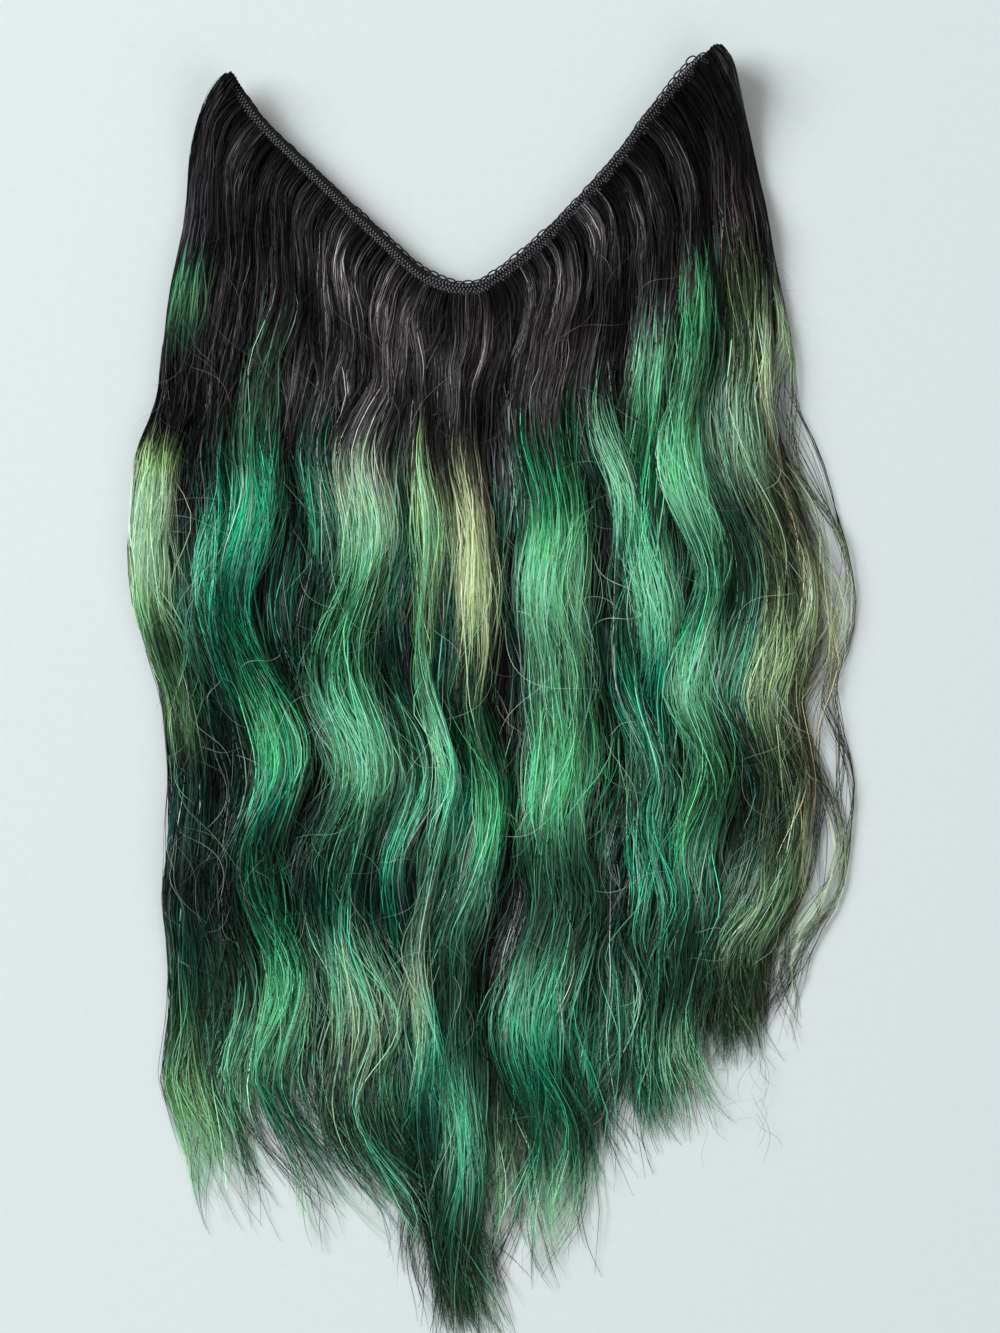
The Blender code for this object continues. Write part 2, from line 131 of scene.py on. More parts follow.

# The locks from left to right. lane is how far across the curtain a lock lies. drift and bow shift its tip
# and its middle by shares of SHOULDER_WIDTH. sway is the depth of its waves in mm, crest the share of
# HAIR_LENGTH where one bulges to the right, wave their length as a share of WAVE_LENGTH. width and height are
# in mm. reach is the share of HAIR_LENGTH below the V where it ends. gleam is the share where a wave catches
# the light, and grey tells how many of its hairs took no dye. dyes gives each dye and the share of
# HAIR_LENGTH it is at. shine is how bright it is beside the others.
# Where frost stands in a lock's list of dyes, it is partly painted highlight.
LOCK_TRAITS = "lane drift bow sway crest wave width height reach gleam grey dyes shine"
Lock = namedtuple("Lock", LOCK_TRAITS, defaults=[1.0])
LOCKS = [
    Lock(0.03, -0.02, -0.01, 1.1, 0.21, 1.3, 15, 12, 0.9, 0.24, 0.06,
        "-.03 black, -.01 pine, .008 fern, .034 fern, .05 pine, .075 black, .15 black, .168 lime, "
        ".19 frost, .26 frost, .3 moss, .34 fern, .4 moss, .45 pine, .57 black, .64 bottle, .75 moss, "
        ".88 fern", 3.0),
    Lock(0.078, 0.01, -0.01, 1.8, 0.2, 1.2, 12, 6, 0.89, 0.3, 0.45,
        ".15 black, .2 charcoal, .36 bottle, .45 pine, .6 pine, .66 sea, .9 moss", 1.3),
    Lock(0.122, 0.03, -0.01, 3.6, 0.21, 1.04, 13, 8, 0.9, 0.26, 0.22,
        ".13 black, .19 teal, .33 teal, .4 pine, .58 pine, .66 sea, .86 moss", 1.25),
    Lock(0.192, 0.06, -0.042, 5, 0.2, 1.01, 17, 17, 0.91, 0.22, 0.05,
        ".045 black, .075 slate, .12 slate, .16 emerald, .2 teal, .3 teal, .36 emerald, .4 leaf, "
        ".47 teal, .52 bottle, .6 emerald, .66 leaf, .71 mint, .78 teal, .88 moss", 1.1),
    Lock(0.24, 0.1, -0.03, 4.6, 0.21, 1.02, 15, 5, 0.88, 0.3, 0.65,
        ".14 black, .18 bottle, .34 pine, .44 pine, .6 pine, .76 bottle, .82 moss"),
    Lock(0.292, 0.12, -0.03, 4.6, 0.23, 1, 16, 9, 0.92, 0.2, 0.4,
        ".1 black, .15 bottle, .22 bottle, .32 pine, .42 bottle, .55 teal, .7 sea, .9 moss"),
    Lock(0.425, 0.02, -0.15, 5.4, 0.24, 0.97, 27, 15, 0.93, 0.21, 0.12,
        "-.05 black, .145 brown, .188 frost, .25 mint, .3 leaf, .38 sea, .46 mint, .52 teal, "
        ".6 bottle, .66 mint, .71 frost, .76 sea, .84 bottle, .93 moss", 1.25),
    Lock(0.425, 0.02, -0.06, 4, 0.22, 1, 14, 8, 0.96, 0.28, 0.5,
        ".15 black, .2 bottle, .34 pine, .44 sea, .56 teal, .7 bottle, .96 moss"),
    Lock(0.446, 0, -0.03, 2.2, 0.23, 1.1, 8, 12, 0.99, 0.21, 0.15,
        "-.05 black, .165 brown, .2 lime, .25 mint, .3 lime, .33 leaf, .42 mint, .5 teal, .57 mint, "
        ".65 frost, .72 teal, .8 bottle", 1.4),
    Lock(0.47, 0, -0.02, 3.4, 0.3, 1.1, 22, 6, 1, 0.33, 0.2,
        "-.05 black, .15 brown, .22 pine, .4 bottle, .6 bottle, .8 teal, .9 bottle, 1 moss"),
    Lock(0.476, 0, -0.03, 2.4, 0.22, 1.1, 12, 7, 1, 0.25, 0.6,
        "-.05 black, .17 brown, .22 olive, .34 bottle, .6 teal, .8 bottle, 1 moss"),
    Lock(0.518, -0.03, -0.03, 2.4, 0.235, 1.2, 13, 16, 1, 0.27, 0.08,
        "-.05 black, .16 brown, .195 straw, .29 straw, .33 olive, .4 bottle, .49 leaf, .54 bottle, "
        ".66 sea, .85 bottle, 1 moss", 1.4),
    Lock(0.562, 0, 0, 2.6, 0.16, 0.97, 17, 7, 0.96, 0.4, 0.8,
        ".17 black, .24 bottle, .34 pine, .5 charcoal, .62 charcoal, .68 pine, .96 moss", 1.35),
    Lock(0.65, 0.03, -0.05, 3, 0.195, 0.9, 25, 18, 0.94, 0.27, 0.05,
        "-.05 black, .13 brown, .175 emerald, .21 leaf, .27 mint, .36 mint, .44 leaf, .52 sea, "
        ".62 sea, .74 teal, .94 moss", 1.5),
    Lock(0.69, 0.02, 0, 3.2, 0.22, 0.9, 12, 6, 0.86, 0.33, 0.7,
        ".1 black, .15 bottle, .24 black, .36 pine, .5 bottle, .62 teal, .86 bottle"),
    Lock(0.724, 0.06, 0, 4.8, 0.205, 1.07, 13, 12, 0.84, 0.19, 0.12,
        ".09 black, .125 mint, .175 mint, .23 teal, .3 sea, .36 teal, .48 bottle, .6 bottle, .72 sea, "
        ".84 slate", 0.8),
    Lock(0.815, 0.14, -0.08, 3.3, 0.37, 1.2, 20, 14, 0.816, 0.295, 0.08,
        ".05 black, .08 mint, .14 leaf, .2 emerald, .29 mint, .34 teal, .42 teal, .46 mint, .5 teal, "
        ".6 bottle, .68 sea, .74 teal, .82 moss", 0.9),
    Lock(0.808, 0.06, 0, 3.2, 0.24, 0.9, 11, 5, 0.8, 0.33, 0.85,
        "-.05 black, .1 charcoal, .2 black, .34 charcoal, .46 charcoal, .56 pine, .8 bottle"),
    Lock(0.868, 0.08, -0.052, 3.4, 0.26, 0.83, 16, 18, 0.8, 0.36, 0.05,
        "0 black, .03 leaf, .1 mint, .14 leaf, .22 mint, .28 emerald, .38 mint, .46 leaf, .54 bottle, "
        ".64 sea, .8 moss", 1.1),
    Lock(0.9, 0, 0, 3, 0.27, 0.95, 26, 10, 0.74, 0.36, 0.45,
        "-.12 black, -.02 brown, .04 bottle, .16 slate, .3 sea, .45 bottle, .6 slate, .74 moss"),
    Lock(0.942, 0, 0, 2.2, 0.28, 1, 20, 11, 0.745, 0.36, 0.25,
        "-.14 black, -.04 brown, .02 olive, .12 slate, .25 olive, .45 olive, .6 moss", 1.15),
    Lock(0.98, -0.01, 0, 1.6, 0.28, 1, 13, 8, 0.7, 0.3, 0.15,
        "-.1 black, -.04 brown, .03 olive, .2 tan, .3 olive, .45 tan, .6 olive, .7 moss", 1.15),
]

ROOT_LOCK_STRANDS = 42
SIDE_HAIR_STRANDS = 80
STRANDS_PER_MM = 8  # of a lock's width
PARTS_PER_MM = 24
TIPS_PER_MM = 6
WISPS_PER_MM = 0.55
PART_SHOWN = (0.12, 0.30)
STRAY_SHOWN = (0.15, 0.40)
TIP_PART = (0.70, 0.84)
LANE_MIDDLE = 0.50
ABOVE_V = 0.12  # of HAIR_LENGTH, how far above the lowest point of the V the locks begin

# What the strands of one wisp have in common, with a row for each strand
Wisp = namedtuple("Wisp", "place depth reach roll curl light gloss phase swing drift")

# Where strands leave the band, with a row for each. end is 1 at the band's ends and 0 away from them. outward
# is the way past the end, cap is true for those that go round its corner, swerve is the way these set out,
# and bundle is what bundle_at says.
Root = namedtuple("Root", "share end start sideways inward outward cap swerve bundle")

# How light the dyed hair is beside its own dye, at shares of HAIR_LENGTH below the V
SHADE_DOWN = np.array([
    (0.40, 1.00), (0.48, 0.80), (0.56, 0.60), (0.66, 0.52), (0.71, 0.85),
    (0.75, 1.10), (0.80, 0.98), (0.86, 0.70), (0.91, 0.56), (1.00, 0.66),
])


def linear(colour):
    """A screen colour from 0 to 255 as the linear light that a shader takes."""
    share = np.asarray(colour, float) / 255
    return np.where(share <= 0.04045, share / 12.92, ((share + 0.055) / 1.055) ** 2.4)


def smooth(share):
    share = np.clip(share, 0.0, 1.0)
    return share * share * (3 - 2 * share)


# The band's line


def smooth_line(corners, steps):
    """Points on the Catmull-Rom curve through the corners, that many for each stretch."""
    ends = [corners[0] * 2 - corners[1], *corners, corners[-1] * 2 - corners[-2]]
    line = []
    for a, b, c, d in zip(ends, ends[1:], ends[2:], ends[3:]):
        for step in range(steps):
            t = step / steps
            curve = (c - a) * t + (a * 2 - b * 5 + c * 4 - d) * t**2 + (b * 3 - a - c * 3 + d) * t**3
            line.append(b + curve / 2)
    return np.array([*line, corners[-1]])


def band_curve():
    lowest = max(down for _, down in BAND_LINE)
    middle = next(across for across, down in BAND_LINE if down == lowest)
    corners = [np.array(((a - middle) * BAND_SPAN, (lowest - d) * BAND_DROP)) for a, d in BAND_LINE]
    return smooth_line(corners, 24)


BAND_CURVE = band_curve()
STEPS_ALONG = np.linalg.norm(np.diff(BAND_CURVE, axis=0), axis=1)
ALONG = np.concatenate([[0.0], np.cumsum(STEPS_ALONG)])
BAND_LENGTH = ALONG[-1]
ALONG = ALONG / BAND_LENGTH
MIDDLE_ROOT = ALONG[np.argmin(BAND_CURVE[:, 1])]
TANGENTS = np.gradient(BAND_CURVE, axis=0)
TANGENTS /= np.linalg.norm(TANGENTS, axis=1, keepdims=True)


def band_at(share):
    """(points on the band's outer edge, directions along it, directions to the hair) at shares of it."""
    share = np.asarray(share, float)
    x = np.interp(share, ALONG, BAND_CURVE[:, 0])
    y = np.interp(share, ALONG, BAND_CURVE[:, 1])
    rise = END_RISE * np.maximum(0.0, 1 - np.minimum(share, 1 - share) / END_REACH) ** 2
    tx = np.interp(share, ALONG, TANGENTS[:, 0])
    ty = np.interp(share, ALONG, TANGENTS[:, 1])
    size = np.hypot(tx, ty)
    tx, ty, none = tx / size, ty / size, np.zeros_like(tx)
    point = np.stack([x, y, rise], -1)
    return point, np.stack([tx, ty, none], -1), np.stack([ty, -tx, none], -1)


def rounded_off(from_end, radius):
    """How far a rounded corner has drawn back, at distances from the band's end."""
    near = np.clip(radius - from_end, 0, radius)
    return radius - np.sqrt(radius**2 - near**2)


def frame_shift():
    """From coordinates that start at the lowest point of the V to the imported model's own."""
    edge, _, inward = band_at(np.linspace(0, 1, 400))
    ours = (edge + inward * HEADER_WIDTH).min(0)
    ours[0] = min(ours[0], edge[:, 0].min())
    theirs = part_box("front_header")[0]
    return np.array([theirs.x - ours[0], theirs.y - ours[1], 0.0])


SHIFT = frame_shift()

# The curtain's lanes

DROPS = np.linspace(-0.30, 1.10, 700)
BLUR_REACH = 12
BLUR = np.hanning(2 * BLUR_REACH + 1)
BLUR /= BLUR.sum()


def blurred(column):
    line = np.interp(DROPS, OUTLINE[:, 0], OUTLINE[:, column])
    padded = np.pad(line, BLUR_REACH, "edge")
    return np.convolve(padded, BLUR, "valid")


LEFT_EDGE, RIGHT_EDGE = blurred(1), blurred(2)


def edges(share):
    """The curtain's left and right edges, as shares of SHOULDER_WIDTH."""
    return np.interp(share, DROPS, LEFT_EDGE), np.interp(share, DROPS, RIGHT_EDGE)


def lane_across(lane, share):
    """How far across the curtain a lane is, in metres, at shares of HAIR_LENGTH below the V."""
    left, right = edges(share)
    return (left + lane * (right - left)) * SHOULDER_WIDTH


def root_of(lane):
    """The share of the band that a lane starts from."""
    low = MIDDLE_ROOT * lane / LANE_MIDDLE
    high = MIDDLE_ROOT + (1 - MIDDLE_ROOT) * (lane - LANE_MIDDLE) / (1 - LANE_MIDDLE)
    return np.clip(np.where(lane < LANE_MIDDLE, low, high), 0.002, 0.998)


def lock_across(lock, drop):
    """How far across the middle of a lock is, for an array of drops below the V."""
    share = drop / HAIR_LENGTH
    left, right = edges(share)
    across = left + lock.lane * (right - left) + lock.drift * np.maximum(share, 0) ** 3
    across = across + lock.bow * np.sin(pi * np.clip(share, 0, 1))
    phase = 2 * pi * (share - lock.crest) * HAIR_LENGTH / (lock.wave * WAVE_LENGTH)
    fallen = smooth(drop / WAVE_LENGTH + 0.2)
    return across * SHOULDER_WIDTH + lock.sway / 1000 * fallen * np.cos(phase)


def dye_table(text):
    """(shares, linear colours) from a lock's list of dyes."""
    stops = [stop.split() for stop in text.split(",")]
    return np.array([float(share) for share, _ in stops]), np.array([linear(DYES_AND_HIGHLIGHTS[name]) for _, name in stops])


def dye_at(table, share):
    shares, colours = table
    return np.stack([np.interp(share, shares, colours[:, k]) for k in range(3)], -1)


def height_at(along):
    """A lock's height as a share of its full height, at shares of its way to the tip."""
    return np.interp(along, [0, 0.1, 0.25, 0.45, 0.7, 0.86, 1], [0.45, 0.7, 0.95, 1, 0.75, 0.42, 0.12])


def width_at(along):
    return np.interp(along, [0, 0.2, 0.45, 0.65, 0.85, 0.95, 1], [0.95, 1, 1.05, 1.1, 1.05, 0.85, 0.6])


def bundle_place(share):
    """Shares of the band counted in the small bundles, a little uneven, in which hair is sewn in."""
    return share * ROOT_BUNDLES + 0.4 * np.sin(share * ROOT_BUNDLES * 1.9)


def bundled(share, pull):
    """Shares of the band, drawn together into its bundles."""
    place = bundle_place(share)
    pull = pull * (0.55 + 0.45 * np.sin(np.round(place) * 2.3))
    return np.clip(share + (np.round(place) - place) * pull / ROOT_BUNDLES, 0.002, 0.998)


def bundle_at(share):
    """(two even random numbers for the bundle at a share of the band, how far aside of it from -1 to 1)."""
    place = bundle_place(share)
    bundle = np.round(place)
    first, second = np.sin(bundle * 12.9898) * 437.585, np.sin(bundle * 78.233) * 537.545
    return first - np.floor(first), second - np.floor(second), (place - bundle) * 2


def kept_inside(points, beyond):
    """Points with their X eased back to the curtain's edges, or so far beyond them."""
    room = 0.004
    share = -points[..., 1] / HAIR_LENGTH
    beyond = beyond * smooth((share + 0.06) / 0.24)
    low, high = edges(share)
    low, high = low * SHOULDER_WIDTH - beyond + room, high * SHOULDER_WIDTH + beyond - room
    x = points[..., 0]
    x = np.where(x > high, high + room * np.tanh((x - high) / room / 1.6), x)
    points[..., 0] = np.where(x < low, low - room * np.tanh((low - x) / room / 1.6), x)
    return points


# Strands


def wisps_of(lock, count, fray, frizz):
    """The traits of the wisp that each of a lock's strands belongs to."""
    wisps = max(3, round(lock.width * WISPS_PER_MM))
    wisp = RANDOM.integers(0, wisps, count)
    traits = Wisp(
        place=(np.arange(wisps) + uniform(0.05, 0.95, wisps)) / wisps * 2 - 1,
        depth=uniform(0.0, 1.0, wisps) ** 1.5,
        reach=1 - fray * uniform(0.0, 0.15, wisps),
        roll=normal(0, radians(24), wisps),
        curl=normal(np.interp(lock.lane, [0.3, 0.4], [0.12, 0]), 0.30, wisps) * fray,
        light=np.exp(normal(-0.05, 0.34, wisps)),
        gloss=uniform(0.2, 1.0, wisps),
        phase=uniform(0, 2 * pi, (wisps, 2)),
        swing=uniform(0.4, 1.9, (wisps, 2)) / 1000 * frizz,
        drift=normal(0, 0.005, wisps),
    )
    return Wisp(*(trait[wisp] for trait in traits))


def strand_span(count, steps, part):
    """Shares of the way to the tip: (where each strand begins, where it ends, its points, its even steps)."""
    pace = np.linspace(0, 1, steps)[None, :]
    last = np.ones((count, 1))
    if part is None:
        first = np.where(uniform(0, 1, count) < 0.8, 0.0, uniform(0.05, 0.55, count))[:, None]
        pace = np.interp(pace, [0, 0.24, 1], [0, 0.11, 1])
    elif part == TIP_PART:
        first = uniform(*part, count)[:, None]
    else:
        shown = uniform(*part, count)[:, None]
        first = np.clip(uniform(-0.06, 1, (count, 1)) * (1.03 - shown), 0, 1)
        last = np.minimum(first + shown, 1.0)
    return first, last, first + (last - first) * pace, pace


def strand_roots(lock, place):
    """Where a lock's strands leave the band, for their places across the lock from -1 to 1."""
    count = len(place)
    near = np.full(count, 0.05)
    left, right = edges(near)
    guess = lock_across(lock, near * HAIR_LENGTH) + place * lock.width / 2000
    lane = np.clip((guess / SHOULDER_WIDTH - left) / (right - left), 0.0, 1.0)
    share = root_of(lane)
    bundle = bundle_at(share)
    end = np.maximum(smooth((share - 0.935) / 0.05), smooth((0.045 - share) / 0.04))
    share = bundled(share, 0.20 * (1 - end))
    edge, sideways, inward = band_at(share)
    over = uniform(0, 1, count) < 0.6 + 0.3 * end
    cover = np.interp(share, [0, 0.42, 0.6, 1], [0.0007, 0.0007, 0.0022, 0.0026])
    inset = HEADER_WIDTH - np.where(over, cover * uniform(0.3, 1.0, count), 0.0006)
    inset = np.maximum(inset - np.where(over, 0.0042 * end * uniform(0.3, 1.1, count), 0.0), 0.0003)
    corner = rounded_off(np.minimum(share, 1 - share) * BAND_LENGTH, END_ROUNDING)
    inset = np.maximum(inset, corner + 0.0003)
    start = edge + inward * inset[:, None]
    side = np.where(share > 0.5, 1.0, -1.0)
    outward = side * end * over
    start = start + sideways * (outward * uniform(-0.0012, 0.0004, count))[:, None]
    cap = over & (end > 0.6) & (uniform(0, 1, count) < 0.7)
    hub_share = np.where(share > 0.5, 1 - CAP_RADIUS / BAND_LENGTH, CAP_RADIUS / BAND_LENGTH)
    hub, along_hub, inward_hub = band_at(hub_share)
    along_hub = along_hub * side[:, None]
    about = uniform(-0.8, 1.5, count)[:, None]
    rim = (CAP_RADIUS * 1.2 * uniform(0.55, 1.0, count) ** 0.5)[:, None]
    spoke = along_hub * np.sin(about) - inward_hub * np.cos(about)
    round_start = hub + inward_hub * CAP_RADIUS + spoke * rim
    start[:, :2] = np.where(cap[:, None], round_start[:, :2], start[:, :2])
    start[:, 2] += np.where(over, HEADER_TOP + 0.0003, ROOT_HEIGHT) + uniform(0.0, 0.9, count) / 1000
    start[:, 2] += 0.0006 * end * over
    swerve = (along_hub * np.cos(about) + inward_hub * np.sin(about)) * 0.0045 + inward_hub * 0.0035
    return Root(share, end, start, sideways, inward, outward, cap[:, None], swerve, bundle)


def fan_curve(p0, p1, p2, p3, gone):
    """Cubic curves from the band at p0 to the straight hair at p3, at lengths along them."""
    u = np.clip(gone / SHOULDER_DROP, 0, 1)[..., None]
    return p0 * (1 - u) ** 3 + p1 * 3 * u * (1 - u) ** 2 + p2 * 3 * u**2 * (1 - u) + p3 * u**3


def root_fan(root, bend, gone):
    """The strands' curves from the band down to their bends, at lengths along them."""
    p1 = root.start + root.inward * (ROOT_HANDLE * (1 - 0.55 * root.end))[:, None]
    p1 = p1 + root.sideways * (root.outward * 0.0030 * uniform(0.3, 1.3, len(bend)))[:, None]
    p1 = np.where(root.cap, root.start + root.swerve, p1)
    p1[:, 2] = root.start[:, 2] + 0.002
    p2 = bend + np.array([0, ROOT_HANDLE, 0.0])
    p2[:, 2] = np.maximum(bend[:, 2], 0.004)
    return fan_curve(root.start[:, None], p1[:, None], p2[:, None], bend[:, None], gone)


def strand_dyes(lock, wisp, share):
    """The dye at each point of a lock's strands, some of which took none."""
    count = len(share)
    ragged = np.clip(normal(0, 1, (count, 1)), -2, 1.2)
    ragged = np.interp(lock.lane, [0.03, 0.12], [0.007, 0.024]) * ragged
    ragged = ragged + wisp.drift[:, None] * np.interp(lock.lane, [0.03, 0.12], [0.5, 3])
    colours = dye_at(dye_table(lock.dyes), share + ragged)
    tint = normal(0, 1, (count, 1))
    colours = colours * np.clip(1 + np.stack([0.10 * tint, 0.02 * tint, -0.05 * tint], -1), 0.5, 1.6)
    undyed = uniform(0, 1, count) < (0.06 + lock.grey * 0.36) / lock.shine
    greys = np.array([linear(DYES_AND_HIGHLIGHTS["charcoal"]), linear(DYES_AND_HIGHLIGHTS["mauve"]), linear(DYES_AND_HIGHLIGHTS["black"])])
    shade = greys[RANDOM.choice(3, count, p=[0.45, 0.20, 0.35])][:, None]
    far = (smooth((share - 0.02) / 0.1) * (1 - 0.4 * smooth((share - 0.56) / 0.22)))[..., None]
    colours = np.where(undyed[:, None, None], colours + (shade - colours) * 0.75 * far, colours)
    pale = uniform(0, 1, count) < 0.06
    fair = np.minimum(colours * 1.5 + linear(DYES_AND_HIGHLIGHTS["gleam"]) * 0.12 * far, 0.9)
    return np.where(pale[:, None, None], fair, colours)


def root_painted_sheen(wisp, root, gone):
    """How strong the painted sheen on the dark roots is: in patches along the strands, and most in the middle
    of the band.
    """
    sheen_strength, where, aside = root.bundle
    near_root = gone - (0.012 + 0.030 * where + normal(0, 0.004, len(gone)))[:, None]
    patches = np.exp(-((near_root / 0.013) ** 2)) + 0.8 * np.exp(-(((near_root - 0.058) / 0.019) ** 2))
    glint = uniform(0, 1, len(gone))
    sheen_strength = (0.04 + 1.8 * sheen_strength**3) * wisp.gloss**2.2 * (0.20 + 1.3 * glint**4)
    sheen_strength = sheen_strength * (0.75 + 7.5 * np.exp(-(((root.share - MIDDLE_ROOT) / 0.17) ** 2)))
    return (sheen_strength * (1 - 0.35 * np.abs(aside)))[:, None] * patches


def strand_colours(lock, wisp, root, place, depth, share, gone, flicker):
    """The colour at each point of a lock's strands: its dyes, darker in the depth and towards the lock's
    edges as painted shade, lighter on the waves as painted highlight, with painted glints and a painted sheen
    on the dark roots.
    """
    colours = strand_dyes(lock, wisp, share)
    gloss = root_painted_sheen(wisp, root, gone)
    dark = np.clip(1 - colours.sum(-1, keepdims=True) / 0.12, 0, 1)
    bold = max(lock.shine, 1.0)
    light = 1.48 * lock.shine * wisp.light * np.exp(normal(-0.28, 0.92 / bold**0.5, len(share)))
    # Painted shade: darker towards the lock's edges and in its depth.
    light = light[:, None] * (1 - 0.75 * np.minimum(np.abs(place), 1) ** 2.6) * (1 - 0.80 * depth / bold)
    light = light * flicker
    # Painted highlight: lighter where a wave crests towards the light.
    crest = np.cos(2 * pi * (share - lock.gleam) * HAIR_LENGTH / (lock.wave * WAVE_LENGTH))
    crest = ((1 + crest) / 2) ** 2.5
    light = light * (0.46 + 2.05 * crest)
    light = light * np.interp(share, SHADE_DOWN[:, 0], SHADE_DOWN[:, 1])
    # Painted glints in the gleam colour on a few strands, strongest on the crests.
    bright = np.clip(colours.sum(-1, keepdims=True) / 0.45, 0.03, 1) * (0.05 + 1.35 * crest[..., None] ** 1.5)
    sparkle = (uniform(0, 1, len(share)) ** 5)[:, None, None] * linear(DYES_AND_HIGHLIGHTS["gleam"]) * 0.80
    colours = colours * light[..., None] + bright * sparkle
    # Painted sheen on the dark roots, in mauve.
    colours = colours + linear(DYES_AND_HIGHLIGHTS["mauve"]) * 1.35 * gloss[..., None] * dark
    colours = colours / np.maximum(colours.max(-1, keepdims=True) / 0.86, 1.0)
    return np.maximum(colours, 0.0012)


def lock_strands(lock, count, spread=1.0, frizz=1.0, steps=STRAND_POINTS, under=False, part=None, beyond=0.0):
    """(points, half widths, colours, rolls) of one lock's strands, each by strands and by points along them.

    part is the least and the most of its way over which a strand shows, or None for all of it.
    """
    fray = np.interp(lock.reach, [0.97, 1], [1, 0.35]) * np.interp(lock.lane, [0.55, 0.8], [1, 0.45])
    wisp = wisps_of(lock, count, fray, frizz)
    own_place = normal(0, 0.13, count)[:, None] * spread
    place = wisp.place[:, None] * spread + own_place
    inside = np.abs(normal(0, 0.62, count))[:, None] * WISP_RADIUS
    turn = uniform(0, 2 * pi, (count, 1))
    twist = RANDOM.choice([-1, 1], (count, 1)) * 2 * pi / uniform(0.10, 0.30, (count, 1))
    depth = (0.6 * wisp.depth + 0.4 * uniform(0, 1, count))[:, None]
    reach = (lock.reach * wisp.reach * (1 - 0.20 * fray * uniform(0, 1, count) ** 1.6))[:, None]
    first, last, t, pace = strand_span(count, steps, part)
    root = strand_roots(lock, place[:, 0])
    settled = (SHOULDER_DROP - root.start[:, 1])[:, None]

    total = SHOULDER_DROP + reach * HAIR_LENGTH - settled
    gone = total * t
    drop = settled + np.maximum(gone - SHOULDER_DROP, 0.0)
    share = drop / HAIR_LENGTH
    half = lock.width / 2000 * width_at(t)
    clump = inside * np.interp(t, [0, 0.25, 0.7, 0.9, 1], [0.5, 1, 1.1, 0.6, 0.12])
    drawn = own_place * np.interp(t, [0, 0.6, 0.8, 1], [0, 0, 0.6, 0.9])
    x = lock_across(lock, drop) + (place - drawn) * half + clump * np.cos(turn + twist * drop)
    swing = smooth(gone / 0.10)
    for k, length in ((0, 0.13), (1, 0.071)):
        wave = np.sin(2 * pi * drop / length + wisp.phase[:, k, None])
        x = x + swing * wisp.swing[:, k, None] * wave * (0.6 + t)
    own_phase = uniform(0, 2 * pi, (count, 1))
    own_length = uniform(0.045, 0.11, (count, 1))
    own_swing = np.abs(normal(0, 0.00065, (count, 1))) * frizz
    x = x + swing * own_swing * np.sin(2 * pi * drop / own_length + own_phase) * (0.6 + 1.2 * t)
    x = x + (wisp.drift[:, None] + normal(0, 0.0007, (count, 1))) * t**4
    curl = wisp.curl[:, None] + normal(0, 0.14, (count, 1))
    tail = np.maximum(t - TAIL, 0) * total
    angle = curl * np.maximum(t - TAIL, 0) / (1 - TAIL)
    x = x + tail * np.sinc(angle / 2 / pi) * np.sin(angle / 2)
    y = -drop + tail * (1 - np.sinc(angle / pi))

    dome = np.sqrt(np.clip(1 - 0.92 * (place / max(spread, 1.0)) ** 2, 0.03, 1))
    lift = 1 + 0.20 * np.cos(2 * pi * (share - lock.gleam) * HAIR_LENGTH / (lock.wave * WAVE_LENGTH))
    if under:
        z = 0.0005 + 0.0012 * depth * np.ones_like(t)
    else:
        z = lock.height / 1000 * height_at(t) * dome * lift * (1 - 0.42 * depth)
        ease = smooth((t - first) / 0.05)
        dive = np.where(first > 0, ease, 1.0) * np.where(last < 1, smooth((last - t) / 0.05), 1.0)
        z = z * (0.55 + 0.45 * dive) + LOWEST_HAIR
    z = z + 0.5 * clump * np.sin(turn + twist * drop)
    z = z + 0.0005 * np.sin(2 * pi * drop / (own_length * 1.1) + own_phase * 1.7)
    points = np.stack([x, y, z], -1)

    bend = np.stack([lock_across(lock, settled), -settled, np.zeros_like(settled)], -1)[:, 0]
    bend[:, 0] += (place * lock.width / 2000 + inside * np.cos(turn + twist * settled))[:, 0]
    bend[:, 2] = (lock.height / 1000 * 0.72 * dome * (1 - 0.3 * depth))[:, 0]
    curve = root_fan(root, bend, gone)
    weave = np.sin(2 * pi * gone / (0.4 * own_length) + own_phase) * np.minimum(gone / 0.02, 1)
    curve[..., 0] += 0.0004 * weave
    swell = np.sin(2 * pi * gone / 0.042 + root.bundle[1][:, None] * 2 * pi)
    curve[..., 0] += 0.0009 * swell * smooth(gone / 0.02) * smooth((SHOULDER_DROP - gone) / 0.02)
    curve[..., 2] += 0.0004 * np.cos(2 * pi * gone / (0.4 * own_length) + turn) * np.minimum(gone / 0.01, 1)
    settle = np.clip((gone - SHOULDER_DROP) / 0.03, 0, 1)[..., None]
    carried = points + (bend[:, None] - points) * UP * (1 - smooth(settle))
    points = np.where((gone < SHOULDER_DROP)[..., None], curve, carried)
    points[..., 2] = np.maximum(points[..., 2], LOWEST_HAIR)
    points = kept_inside(points, beyond)

    widths = STRAND_WIDTH / 2 * uniform(0.5, 1.3, (count, 1))
    widths = widths * np.interp(t, [0, 0.1, 0.9, 0.97, 1], [0.8, 1, 1, 0.8, 0.3])
    if part is not None and part != TIP_PART:
        widths = widths * np.interp(pace, [0, 0.12, 0.88, 1], [0.3, 1, 1, 0.3])
    # Painted light and shade that come and go along each strand.
    flicker = 1 + 0.30 * np.sin(2 * pi * drop / (own_length * 0.8) + turn)
    colours = strand_colours(lock, wisp, root, place, depth, -points[..., 1] / HAIR_LENGTH, gone, flicker)
    roll = wisp.roll[:, None] + normal(0, radians(22), (count, 1))
    return points + SHIFT, widths, colours, roll


# Meshes


